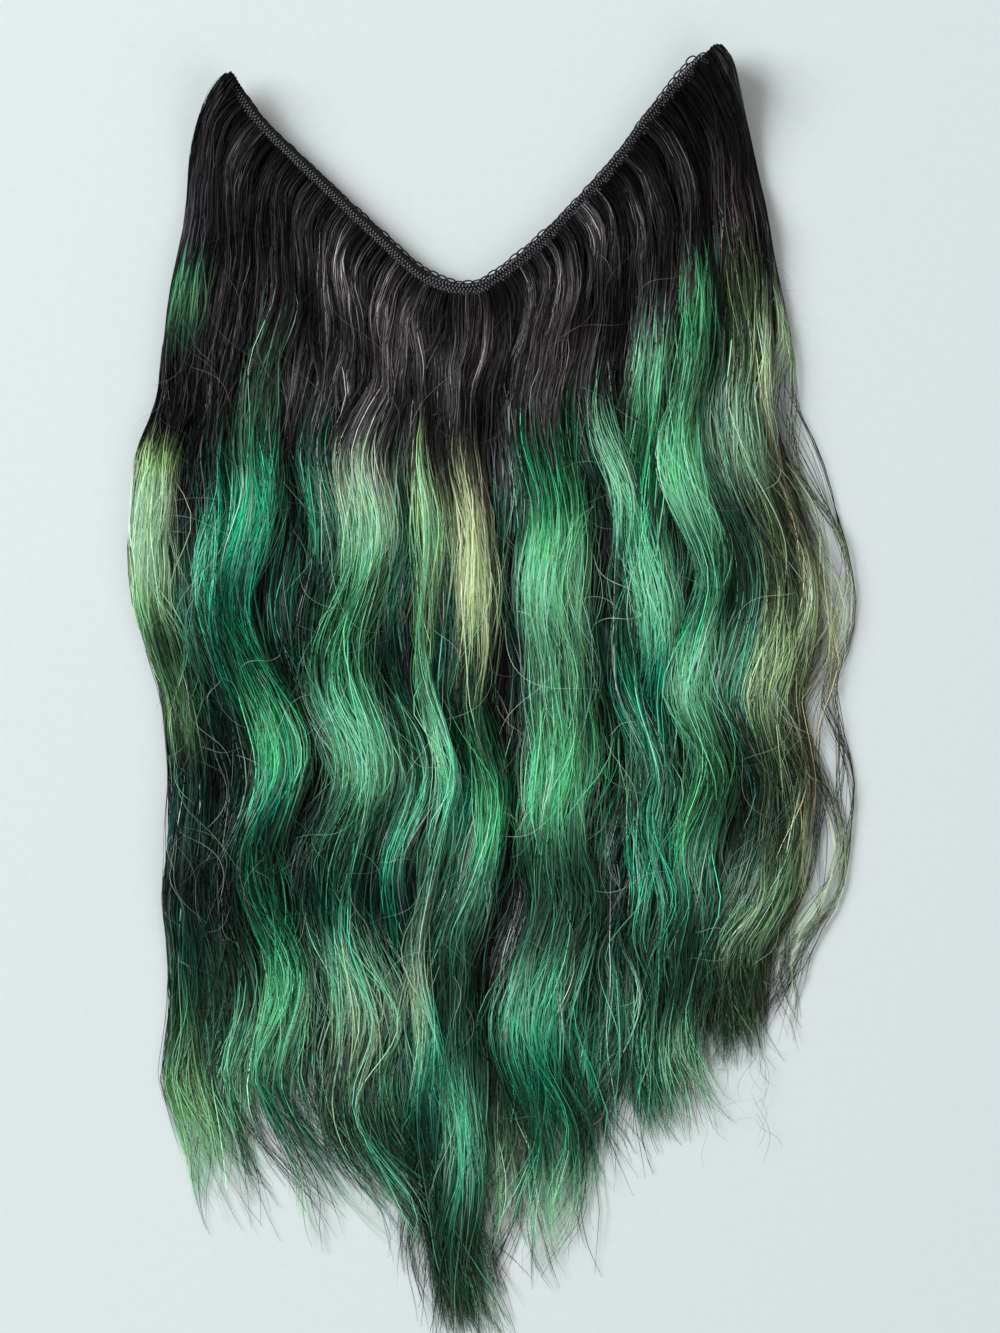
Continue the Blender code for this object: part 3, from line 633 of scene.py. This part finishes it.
def mesh_piece(name, verts, quads, material, colours=None, smooth_shading=True):
    """A mesh piece from arrays, riding on the one body."""
    mesh = bpy.data.meshes.new(name)
    mesh.materials.append(material)
    verts = np.ascontiguousarray(verts, np.float32).reshape(-1, 3)
    quads = np.ascontiguousarray(quads, np.int32).reshape(-1, 4)
    mesh.vertices.add(len(verts))
    mesh.vertices.foreach_set("co", verts.ravel())
    mesh.loops.add(quads.size)
    mesh.loops.foreach_set("vertex_index", quads.ravel())
    mesh.polygons.add(len(quads))
    mesh.polygons.foreach_set("loop_start", np.arange(0, quads.size, 4, dtype=np.int32))
    mesh.polygons.foreach_set("loop_total", np.full(len(quads), 4, np.int32))
    mesh.polygons.foreach_set("use_smooth", np.full(len(quads), smooth_shading))
    mesh.update(calc_edges=True)
    if colours is not None:
        # These colours hold the hair's dyes with painted shade, highlights and sheen.
        layer = mesh.color_attributes.new("dye", "FLOAT_COLOR", "POINT")
        rgba = np.ones((len(verts), 4), np.float32)
        rgba[:, :3] = np.asarray(colours, np.float32).reshape(-1, 3)
        layer.data.foreach_set("color", rgba.ravel())
    obj = bpy.data.objects.new(name, mesh)
    bpy.context.scene.collection.objects.link(obj)
    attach(obj, "root")
    return obj


def headings(points):
    """The directions along many paths, at their points."""
    along = np.gradient(points, axis=1)
    return along / (np.linalg.norm(along, axis=2, keepdims=True) + 1e-12)


def ribbon_arrays(points, widths, colours, roll):
    """Flat strands, each rolled about its own line: (vertices, quads, colours)."""
    count, steps = points.shape[:2]
    along = headings(points)
    across = np.cross(along, UP)
    across /= np.linalg.norm(across, axis=2, keepdims=True) + 1e-12
    upward = np.cross(across, along)
    roll = roll + normal(0, radians(22), (count, 1)) * np.linspace(-1, 1, steps)
    roll = np.clip(roll, -radians(70), radians(70))[..., None]
    side = (across * np.cos(roll) + upward * np.sin(roll)) * widths[..., None]
    verts = np.stack([points - side, points + side], 2)
    base = np.arange(count)[:, None] * steps * 2 + np.arange(steps - 1)[None, :] * 2
    quads = np.stack([base, base + 1, base + 3, base + 2], -1)
    return verts.reshape(-1, 3), quads.reshape(-1, 4), np.repeat(colours.reshape(-1, 3), 2, 0)


def tube_arrays(points, radius, sides):
    """Round threads along many paths of as many points each: (vertices, quads)."""
    count, steps = points.shape[:2]
    along = headings(points)
    across = np.cross(along, UP)
    size = np.linalg.norm(across, axis=2, keepdims=True)
    across = np.where(size > 0.05, across / np.maximum(size, 1e-9), np.array([1.0, 0.0, 0.0]))
    upward = np.cross(across, along)
    turn = np.arange(sides) / sides * 2 * pi
    ring = across[..., None, :] * np.cos(turn)[:, None] + upward[..., None, :] * np.sin(turn)[:, None]
    taper = np.ones(steps)
    taper[0] = taper[-1] = 0.35
    verts = points[..., None, :] + ring * radius * taper[:, None, None]
    base = np.arange(count)[:, None, None] * steps * sides + np.arange(steps - 1)[None, :, None] * sides
    j = np.arange(sides)
    k = (j + 1) % sides
    quads = np.stack([base + j, base + k, base + k + sides, base + j + sides], -1)
    return verts.reshape(-1, 3), quads.reshape(-1, 4)


# Materials


def new_material(name, roughness, specular=0.5):
    material = bpy.data.materials.new(name)
    material.use_nodes = True
    shader = material.node_tree.nodes["Principled BSDF"]
    shader.inputs["Roughness"].default_value = roughness
    shader.inputs["Specular IOR Level"].default_value = specular
    return material, shader


def hair_material(name, roughness=0.34, specular=0.16, metallic=0.05):
    """Colour from the strands' vertex colours: their dyes with painted shade, painted highlights and painted
    sheen.
    """
    material, shader = new_material(name, roughness, specular)
    shader.inputs["Metallic"].default_value = metallic
    nodes, links = material.node_tree.nodes, material.node_tree.links
    dye = nodes.new("ShaderNodeVertexColor")
    dye.layer_name = "dye"
    links.new(dye.outputs["Color"], shader.inputs["Base Color"])
    return material


def mottle(material, shader, scale, detail, edge, low, high):
    """A colour that wanders from low to high in fine spots, with soft edges: the noise that it follows."""
    nodes, links = material.node_tree.nodes, material.node_tree.links
    place = nodes.new("ShaderNodeTexCoord")
    spots = nodes.new("ShaderNodeTexNoise")
    spots.inputs["Scale"].default_value = scale
    spots.inputs["Detail"].default_value = detail
    links.new(place.outputs["Object"], spots.inputs["Vector"])
    tone = nodes.new("ShaderNodeValToRGB")
    for stop, position, colour in zip(tone.color_ramp.elements, (edge, 1 - edge), (low, high)):
        stop.position = position
        stop.color = (*colour, 1)
    links.new(spots.outputs["Fac"], tone.inputs["Fac"])
    links.new(tone.outputs["Color"], shader.inputs["Base Color"])
    return spots


def thread_material(name, colour, roughness=0.62):
    """Spun thread: fine plies, darker in their grooves as painted shade."""
    material, shader = new_material(name, roughness, 0.35)
    # Painted shade: the colour darkens with the same noise that sinks the bump's grooves.
    low, high = linear(colour) * 0.45, np.minimum(linear(colour) * 1.6, 1)
    plies = mottle(material, shader, 2600.0, 3.0, 0.3, low, high)
    nodes, links = material.node_tree.nodes, material.node_tree.links
    bump = nodes.new("ShaderNodeBump")
    bump.inputs["Strength"].default_value = 0.5
    bump.inputs["Distance"].default_value = 0.0002
    links.new(plies.outputs["Fac"], bump.inputs["Height"])
    links.new(bump.outputs["Normal"], shader.inputs["Normal"])
    return material


HAIR = hair_material("dyed_hair")
UNDER_HAIR = hair_material("hair_in_the_depth", 0.75, 0.2, 0.0)

# The body of hair under the single strands


def surface_height(x, drop):
    """The highest lock at each place, in metres above the table."""
    top = np.zeros_like(x)
    colour = np.zeros(x.shape + (3,)) + linear(DYES_AND_HIGHLIGHTS["black"])
    for lock in LOCKS:
        share = drop / HAIR_LENGTH
        along = np.clip((share + ABOVE_V) / (lock.reach + ABOVE_V), 0, 1)
        half = lock.width / 2000 * width_at(along)
        off = (x - lock_across(lock, drop)) / half
        dome = np.sqrt(np.clip(1 - off**2, 0, 1))
        height = lock.height / 1000 * height_at(along) * dome * (share < lock.reach)
        here = height > top
        top = np.where(here, height, top)
        colour = np.where(here[..., None], dye_at(dye_table(lock.dyes), share), colour)
    return top, colour


def hair_body():
    """A closed, dark, finely ridged body that the strands lie on: the dyes of the top lock, darkened as
    painted shade.
    """
    columns, rows = 190, 84
    lane = np.linspace(0.012, 0.988, columns)
    edge, _, inward = band_at(root_of(lane))
    start = edge + inward * (HEADER_WIDTH - 0.001)
    settled = SHOULDER_DROP - start[:, 1]
    reach = np.interp(lane, [lock.lane for lock in LOCKS], [lock.reach for lock in LOCKS])
    reach = reach * uniform(0.70, 0.80, columns)
    total = SHOULDER_DROP + reach * HAIR_LENGTH - settled
    t = np.linspace(0, 1, rows)[:, None]
    gone = total * t
    drop = settled + np.maximum(gone - SHOULDER_DROP, 0)
    x = lane_across(lane, drop / HAIR_LENGTH)
    top, colour = surface_height(x, drop)
    ridge = uniform(-0.0005, 0.0005, columns)
    side = np.minimum(lane, 1 - lane) / 0.03
    z = np.maximum(top * 0.62, 0.0035) * np.clip(0.3 + 0.7 * side, 0, 1) + ridge
    z = z * np.interp(t, [0, 0.8, 1], [1, 0.8, 0.08])
    points = np.stack([x, -drop, np.maximum(z, 0.0012)], -1)
    bend = points[np.argmax(gone[:, 0] >= SHOULDER_DROP)]
    bend = np.stack([lane_across(lane, settled / HAIR_LENGTH), -settled, bend[:, 2]], -1)
    high = start.copy()
    high[:, 2] += ROOT_HEIGHT - 0.0010
    fan = fan_curve(high, high + inward * ROOT_HANDLE, bend + np.array([0, ROOT_HANDLE, 0]), bend, gone)
    points = np.where((gone < SHOULDER_DROP)[..., None], fan, points)
    below = points.copy()
    floor = np.where(gone < SHOULDER_DROP, points[..., 2] - 0.0035, 0.0003)
    below[..., 2] = np.clip(floor, 0.0003, points[..., 2] - 0.0004)
    stripe = np.exp(normal(0, 0.35, columns))[None, :, None]
    # Painted shade: the top lock's colours darkened, least towards the tips.
    tone = np.interp(t, [0, 0.7, 1], [0.12, 0.16, 0.5])[..., None]
    colour = np.clip(colour * tone * stripe, 0.0015, 0.4)
    verts = np.concatenate([points.reshape(-1, 3), below.reshape(-1, 3)])
    shades = np.concatenate([colour.reshape(-1, 3), (colour * 1.3).reshape(-1, 3)])
    index = np.arange(rows * columns).reshape(rows, columns)
    a, b, c, d = index[:-1, :-1], index[:-1, 1:], index[1:, 1:], index[1:, :-1]
    upper = np.stack([a, d, c, b], -1).reshape(-1, 4)
    n = rows * columns
    lower = np.stack([a, b, c, d], -1).reshape(-1, 4) + n
    sides = []
    for line in (index[0], index[-1][::-1], index[::-1, 0], index[:, -1]):
        sides.append(np.stack([line[:-1], line[1:], line[1:] + n, line[:-1] + n], -1))
    quads = np.concatenate([upper, lower, *sides])
    return mesh_piece("hair_body", verts + SHIFT, quads, UNDER_HAIR, shades)


def root_locks():
    """Short, dark locks that fill the fan of roots under the band."""
    lanes = [0.0, 0.005, 0.010, *np.linspace(0.016, 0.984, 40), 0.990, 0.995, 1.0]
    dyes = ".1 black, .3 brown"
    locks = []
    for lane in lanes:
        sway, crest, reach = uniform(0.4, 1.6), uniform(0, 1), uniform(0.14, 0.30)
        height, width = uniform(7.0, 9.5), uniform(7, 10)
        locks.append(Lock(lane, 0, 0, sway, crest, 0.8, width, height, reach, 0.1, 0.1, dyes))
    return locks


# Thin veils of hair that stand off the two sides
SIDE_HAIRS = [
    Lock(0.985, 0.03, 0.025, 3.5, 0.27, 1.2, 18, 4, 0.74, 0.3, 0.15,
        "-.1 black, -.04 brown, .03 olive, .2 olive, .4 tan, .6 olive, .7 tan"),
    Lock(0.01, 0, -0.005, 1.6, 0.27, 1.2, 9, 4, 0.88, 0.3, 0.3,
        ".13 black, .17 lime, .36 lime, .44 pine, .6 pine, .7 sea"),
]


def strand_sets(lock):
    """The ribbons of one lock: its depth, its whole strands, parts of strands, tips, strays and a backing."""
    count = round(lock.width * STRANDS_PER_MM)
    deep = lock._replace(width=lock.width * 1.7, height=lock.height * 0.55, reach=lock.reach * 0.95)
    points, widths, colours, roll = lock_strands(deep, round(count * 0.45), steps=30)
    # Painted shade: the deep strands darkened, less towards their tips.
    tone = np.interp(np.linspace(0, 1, 30), [0, 0.7, 1], [0.36, 0.4, 0.9])[:, None]
    sets = [ribbon_arrays(points, widths * 1.5, colours * tone, roll)]
    sets.append(ribbon_arrays(*lock_strands(lock, count)))
    parts = lock_strands(lock, round(lock.width * PARTS_PER_MM), 1.05, 1.2, PART_POINTS, part=PART_SHOWN)
    sets.append(ribbon_arrays(*parts))
    tips = round(lock.width * TIPS_PER_MM)
    points, widths, colours, roll = lock_strands(lock, tips, steps=16, part=TIP_PART)
    tone = np.exp(normal(-0.3, 0.5, (len(colours), 1, 1)))
    sets.append(ribbon_arrays(points, widths, colours * tone, roll))
    stray = lock._replace(height=lock.height * 1.06)
    strays = lock_strands(stray, round(count * 0.5), 1.5, 2.4, 20, part=STRAY_SHOWN, beyond=0.002)
    sets.append(ribbon_arrays(strays[0], strays[1] * 0.8, *strays[2:]))
    sets.append(ribbon_arrays(*lock_strands(lock, count // 6, steps=20, under=True)))
    return sets


def joined(arrays):
    """Several sets of vertices, quads and whatever else each vertex has, as one."""
    starts = np.cumsum([0] + [len(verts) for verts, *_ in arrays[:-1]])
    verts, quads, *others = zip(*arrays)
    quads = np.concatenate([rows + start for rows, start in zip(quads, starts)])
    return np.concatenate(verts), quads, *(np.concatenate(rows) for rows in others)


def hair_strands():
    """All the strands, in a few pieces that each keep below MOST_TRIANGLES triangles."""
    sets = [ribbon_arrays(*lock_strands(lock, ROOT_LOCK_STRANDS, steps=17)) for lock in root_locks()]
    for lock in SIDE_HAIRS:
        beyond = 0.016 if lock.lane > LANE_MIDDLE else 0.002
        hairs = lock_strands(lock, SIDE_HAIR_STRANDS, 1.5, 2.0, 44, beyond=beyond)
        sets.append(ribbon_arrays(*hairs))
    for lock in LOCKS:
        sets.extend(strand_sets(lock))
    groups, used = [[]], 0
    for arrays in sets:
        triangles = 2 * len(arrays[1])
        if used + triangles > MOST_TRIANGLES:
            groups.append([])
            used = 0
        groups[-1].append(arrays)
        used += triangles
    pieces = []
    for number, group in enumerate(groups, 1):
        verts, quads, shades = joined(group)
        pieces.append(mesh_piece(f"strands_{number}", verts, quads, HAIR, shades))
    return pieces


body = hair_body()
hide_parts("hair_curtain")
for piece in hair_strands():
    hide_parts("hair_curtain")

# The stitched band

STITCH_PITCH = 0.0014
STITCH_RADIUS = 0.00020
CORD_PITCH = 0.0032
PLY_RADIUS = 0.00046
LOOP_REACH = 0.0024
LOOP_RADIUS = 0.00033
LOOPS_IN_ROW = 74

# Rows of stitches: from and to, in metres from the outer edge, how many pitches one leans, its lift in mm
STITCH_ROWS = [
    (0.0001, 0.0012, -0.3, 0.8),
    (0.0013, 0.0025, 0.25, 0.1),
    (0.0026, 0.0036, -0.3, 0),
    (0.0035, 0.0047, 0.2, 0),
]

# The loops' sizes beside the common one, at shares of the band
LOOP_SIZES = np.array([
    (0, 0), (0.04, 0.4), (0.25, 0.6), (0.42, 1.1), (0.58, 1.0),
    (0.66, 0.6), (0.87, 0.55), (0.92, 1.3), (0.955, 1.3), (0.965, 0),
])

THREAD = thread_material("stitching_thread", (134, 132, 140))
LOOP_THREAD = thread_material("loop_thread", (13, 12, 14))
WEFT = thread_material("weft_tape", (8, 7, 10), 0.8)


def tape(name, low, high, cord=False, first=0.0, last=1.0):
    """A strip of the band with rounded ends, over shares of its length and levels from low to high."""
    fine = np.linspace(0, 1, 12) ** 2 * 0.02
    share = np.concatenate([fine, np.linspace(0.02, 0.98, 260)[1:-1], 1 - fine[::-1]])
    share = share[(share >= first) & (share <= last)]
    outward = np.where(share > 0.5, 1.0, -1.0)
    reach = 2 * np.abs(share - 0.5)
    beyond = END_BEYOND * smooth((reach - 0.9) / 0.1)
    from_end = (1 - reach) / 2 * BAND_LENGTH
    outer = rounded_off(from_end, END_ROUNDING)
    inner = HEADER_WIDTH - rounded_off(from_end, INNER_ROUNDING)
    inner = np.maximum(inner, outer + 0.0002)
    wide = np.minimum(CORD_WIDTH, inner - outer)
    rise = CORD_RISE if cord else 0.0
    edge, along, inward = band_at(share)
    edge = edge + along * (outward * beyond)[:, None]
    soft = 0.0003
    ring = [
        (outer, low + soft),
        (outer + soft, low),
        (inner - soft, low),
        (inner, low + soft),
        (inner, high - soft),
        (inner - soft, high),
        (outer + wide, high),
        (outer + wide * 0.75, high + rise),
        (outer + wide * 0.25, high + rise),
        (outer, high - soft * (not cord)),
    ]
    rows = []
    for across, level in ring:
        point = edge + inward * across[:, None]
        point[:, 2] += level
        rows.append(point)
    verts = np.stack(rows, 1)
    steps, sides = verts.shape[:2]
    base = np.arange(steps - 1)[:, None] * sides
    j, k = np.arange(sides), (np.arange(sides) + 1) % sides
    quads = [np.stack([base + j, base + k, base + k + sides, base + j + sides], -1).reshape(-1, 4)]
    for start, turn in ((0, -1), ((steps - 1) * sides, 1)):
        loop = (np.arange(sides) + start)[::turn]
        there, back = loop[: sides // 2], loop[: sides // 2 - 1 : -1]
        quads.append(np.stack([there[:-1], there[1:], back[1:], back[:-1]], -1))
    return mesh_piece(name, verts.reshape(-1, 3) + SHIFT, np.concatenate(quads), WEFT, None, False)


for name, low, high, cord in (
    ("front_header", HEADER_TOP - HEADER_THICKNESS, HEADER_TOP, True),
    ("back_header", BACK_HEADER_LOW, BACK_HEADER_LOW + HEADER_THICKNESS, False),
):
    piece = tape(name + "_tape", low, high, cord)
    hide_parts(name)

# The turn of the weft at each end, from the front tape down to the back one
for name, first, last in (("left_end_fold", 0.0, TURNED_SHARE), ("right_end_fold", 1 - TURNED_SHARE, 1.0)):
    piece = tape(name + "_turn", BACK_HEADER_LOW + 0.0002, HEADER_TOP - 0.0002, False, first, last)
    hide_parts(name)


def stitches(level, facing):
    """Four rows of short stitches over a header, leaning to and fro."""
    count = round(BAND_LENGTH / STITCH_PITCH)
    paths = []
    for row, (outer, inner, lean, lift) in enumerate(STITCH_ROWS):
        share = (np.arange(count) + 0.3 + 0.4 * (row % 2)) / count
        s = np.linspace(0, 1, 4)
        slant = lean * (1 + normal(0, 0.4, count))
        place = share[:, None] + slant[:, None] * (s - 0.5) * STITCH_PITCH / BAND_LENGTH
        edge, _, inward = band_at(place)
        aside = normal(0, 0.00012, count)[:, None]
        path = edge + inward * (outer + (inner - outer) * s + aside)[..., None]
        path[..., 2] += level + facing * (lift / 1000 + 0.0003 * np.sin(pi * s))
        from_end = np.minimum(place, 1 - place).min(1) * BAND_LENGTH
        kept = (from_end > 0.0006) & (outer + 0.0002 > rounded_off(from_end, END_ROUNDING))
        paths.append(path[kept & ((place.min(1) > CORD_SHARE) | (row > 0))])
    return tube_arrays(np.concatenate(paths), STITCH_RADIUS, 4)


def outer_cord(level):
    """The two-ply cord along the outer edge of the band."""
    turns = BAND_LENGTH * CORD_SHARE / CORD_PITCH
    share = np.linspace(0, CORD_SHARE, round(turns * 10))
    edge, _, inward = band_at(share)
    paths = []
    for ply in (0, pi):
        angle = share / CORD_SHARE * turns * 2 * pi + ply
        path = edge + inward * (0.0006 + 0.0004 * np.cos(angle))[:, None]
        path[:, 2] += level + 0.0004 * np.sin(angle)
        paths.append(path)
    return tube_arrays(np.array(paths), PLY_RADIUS, 6)


def edge_loops():
    """Open loops of thread along the outer edge, each one leaning into the next."""
    count = LOOPS_IN_ROW
    paths = []
    s = np.linspace(0, 1, 15)
    for row in (0, 1):
        share = (np.arange(count) + 0.5 * row) / count
        size = LOOP_REACH * uniform(0.82, 1.18, count)
        size = size * np.interp(share, LOOP_SIZES[:, 0], LOOP_SIZES[:, 1])
        if row:
            size = size * 0.55
        kept = size > 0.0004
        reach = 1.16 * np.sin(pi * (s - 0.5)) * 0.5 + 0.5
        neck = 0.13 * np.sin(2 * pi * s)
        place = share[:, None] + (reach - neck) / count
        edge, _, inward = band_at(np.clip(place, 0, 1))
        out = np.sin(pi * s) ** 0.8
        path = edge - inward * (size[:, None] * out - 0.0008)[..., None]
        wobble = uniform(-0.0002, 0.0002, count)[:, None]
        path[..., 2] += ROOT_HEIGHT + 0.0012 + 0.0005 * np.cos(2 * pi * s) + wobble + 0.0004 * row
        paths.append(path[kept])
    return tube_arrays(np.concatenate(paths), LOOP_RADIUS, 6)


verts, quads = joined([stitches(HEADER_TOP, 1), stitches(BACK_HEADER_LOW, -1)])
mesh_piece("header_stitches", verts + SHIFT, quads, THREAD)
verts, quads = outer_cord(HEADER_TOP + 0.0003)
mesh_piece("outer_cord", verts + SHIFT, quads, WEFT)
verts, quads = edge_loops()
loops = mesh_piece("edge_loops", verts + SHIFT, quads, LOOP_THREAD)
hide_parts("loop_edging")

# Loose hairs that cross the locks and stand off the edges

LOOSE_HAIRS = 760
LOOSE_POINTS = 22
LOOSE_HALF_WIDTH = 0.000055


def flyaways(count):
    """(points, half widths, colours, rolls) of short curled hairs in all directions."""
    lane = uniform(-0.01, 1.01, count)
    edge_bound = uniform(0, 1, count) < 0.22
    lane = np.where(edge_bound, np.where(uniform(0, 1, count) < 0.4, 0.01, 0.985), lane)
    share = uniform(-0.05, 0.78, count)
    x = lane_across(lane, share)
    heading = normal(0, radians(38), count)
    curl = normal(0, 11, count)
    length = uniform(0.012, 0.062, count) * np.interp(share, [0.3, 0.6], [1, 0.6])
    s = np.linspace(0, 1, LOOSE_POINTS)
    angle = heading[:, None] + curl[:, None] * length[:, None] * s
    angle = angle + 0.5 * np.sin(5 * s + heading[:, None] * 9)
    step = length[:, None] / (LOOSE_POINTS - 1)
    dx = np.cumsum(np.sin(angle) * step, 1)
    dy = -np.cumsum(np.cos(angle) * step, 1)
    px, py = x[:, None] + dx, -share[:, None] * HAIR_LENGTH + dy
    low, high = edges(-py / HAIR_LENGTH)
    top, _ = surface_height(px, -py)
    z = np.maximum(top.max(1, keepdims=True) * 0.6 + 0.4 * top, 0.001) + 0.0008 + 0.002 * np.sin(pi * s)
    points = np.stack([px, py, z], -1) + SHIFT
    edge, _, _ = band_at(np.linspace(0, 1, 100))
    below = (py < np.interp(px, edge[:, 0], edge[:, 1]) - 1.5 * HEADER_WIDTH).all(1)
    near_edge = (px > (low - 0.020) * SHOULDER_WIDTH) & (px < (high + 0.040) * SHOULDER_WIDTH)
    kept = below & near_edge.all(1)
    widths = LOOSE_HALF_WIDTH * np.interp(s, [0, 0.2, 0.8, 1], [0.5, 1, 1, 0.3]) * np.ones((count, 1))
    names = ["mauve", "charcoal", "mint", "gleam", "slate", "frost", "mauve", "gleam"]
    dye = np.where(share < 0.16, RANDOM.integers(0, 2, count), RANDOM.integers(0, len(names), count))
    shades = np.array([linear(DYES_AND_HIGHLIGHTS[name]) for name in names])[dye]
    shades = shades * (np.interp(share, [0.4, 0.7], [0.9, 0.5]) * uniform(0.3, 1.0, count))[:, None]
    roll = normal(0, radians(30), (count, 1))
    return points[kept], widths[kept], np.repeat(shades[:, None], LOOSE_POINTS, 1)[kept], roll[kept]


verts, quads, shades = ribbon_arrays(*flyaways(LOOSE_HAIRS))
mesh_piece("loose_hairs", verts, quads, HAIR, shades)

# The table

TABLE_WIDTH = 30


def table_material():
    material, shader = new_material("pale_table", 0.85, 0.2)
    mottle(material, shader, 260.0, 6.0, 0.35, linear((226, 235, 236.5)), linear((228, 237, 238.5)))
    return material


bpy.ops.mesh.primitive_plane_add(size=TABLE_WIDTH, location=(0, 0, 0))
table = bpy.context.object
table.name = "table"
table.data.materials.append(table_material())

# Light and camera

PIXEL = 0.00042  # of the table for one pixel of the picture
PICTURE_HEIGHT = 1333  # pixels
PICTURE_MIDDLE = (35.0, 380.5)  # pixels right of and below the lowest point of the V
EYE_HEIGHT = 2.4


def area_light(name, place, aim, size, power, colour):
    light = bpy.data.lights.new(name, "AREA")
    light.shape = "RECTANGLE"
    light.size, light.size_y = size
    light.energy = power
    light.color = colour
    obj = bpy.data.objects.new(name, light)
    bpy.context.scene.collection.objects.link(obj)
    obj.location = place
    obj.rotation_euler = (Vector(aim) - Vector(place)).to_track_quat("-Z", "Y").to_euler()


area_light("window", (-3.5, 1.5, 2.85), (0, 0, 0), (3.2, 3.2), 257, (0.955, 0.98, 1.0))
area_light("far_fill", (2.0, -1.2, 2.6), (0, 0, 0), (2.4, 2.4), 17, (0.97, 0.99, 1.0))
world = bpy.data.worlds.new("room")
bpy.context.scene.world = world
world.use_nodes = True
world.node_tree.nodes["Background"].inputs["Color"].default_value = (1.0, 0.96, 0.89, 1.0)
world.node_tree.nodes["Background"].inputs["Strength"].default_value = 0.28
bpy.context.scene.view_settings.view_transform = "Standard"

middle = SHIFT + np.array([PICTURE_MIDDLE[0] * PIXEL, -PICTURE_MIDDLE[1] * PIXEL, 0.0])
camera = bpy.data.cameras.new("camera")
camera.sensor_width = 36.0
camera.lens = camera.sensor_width * EYE_HEIGHT / (PICTURE_HEIGHT * PIXEL)
camera_object = bpy.data.objects.new("camera", camera)
bpy.context.scene.collection.objects.link(camera_object)
camera_object.location = (middle[0], middle[1], EYE_HEIGHT)
bpy.context.scene.camera = camera_object
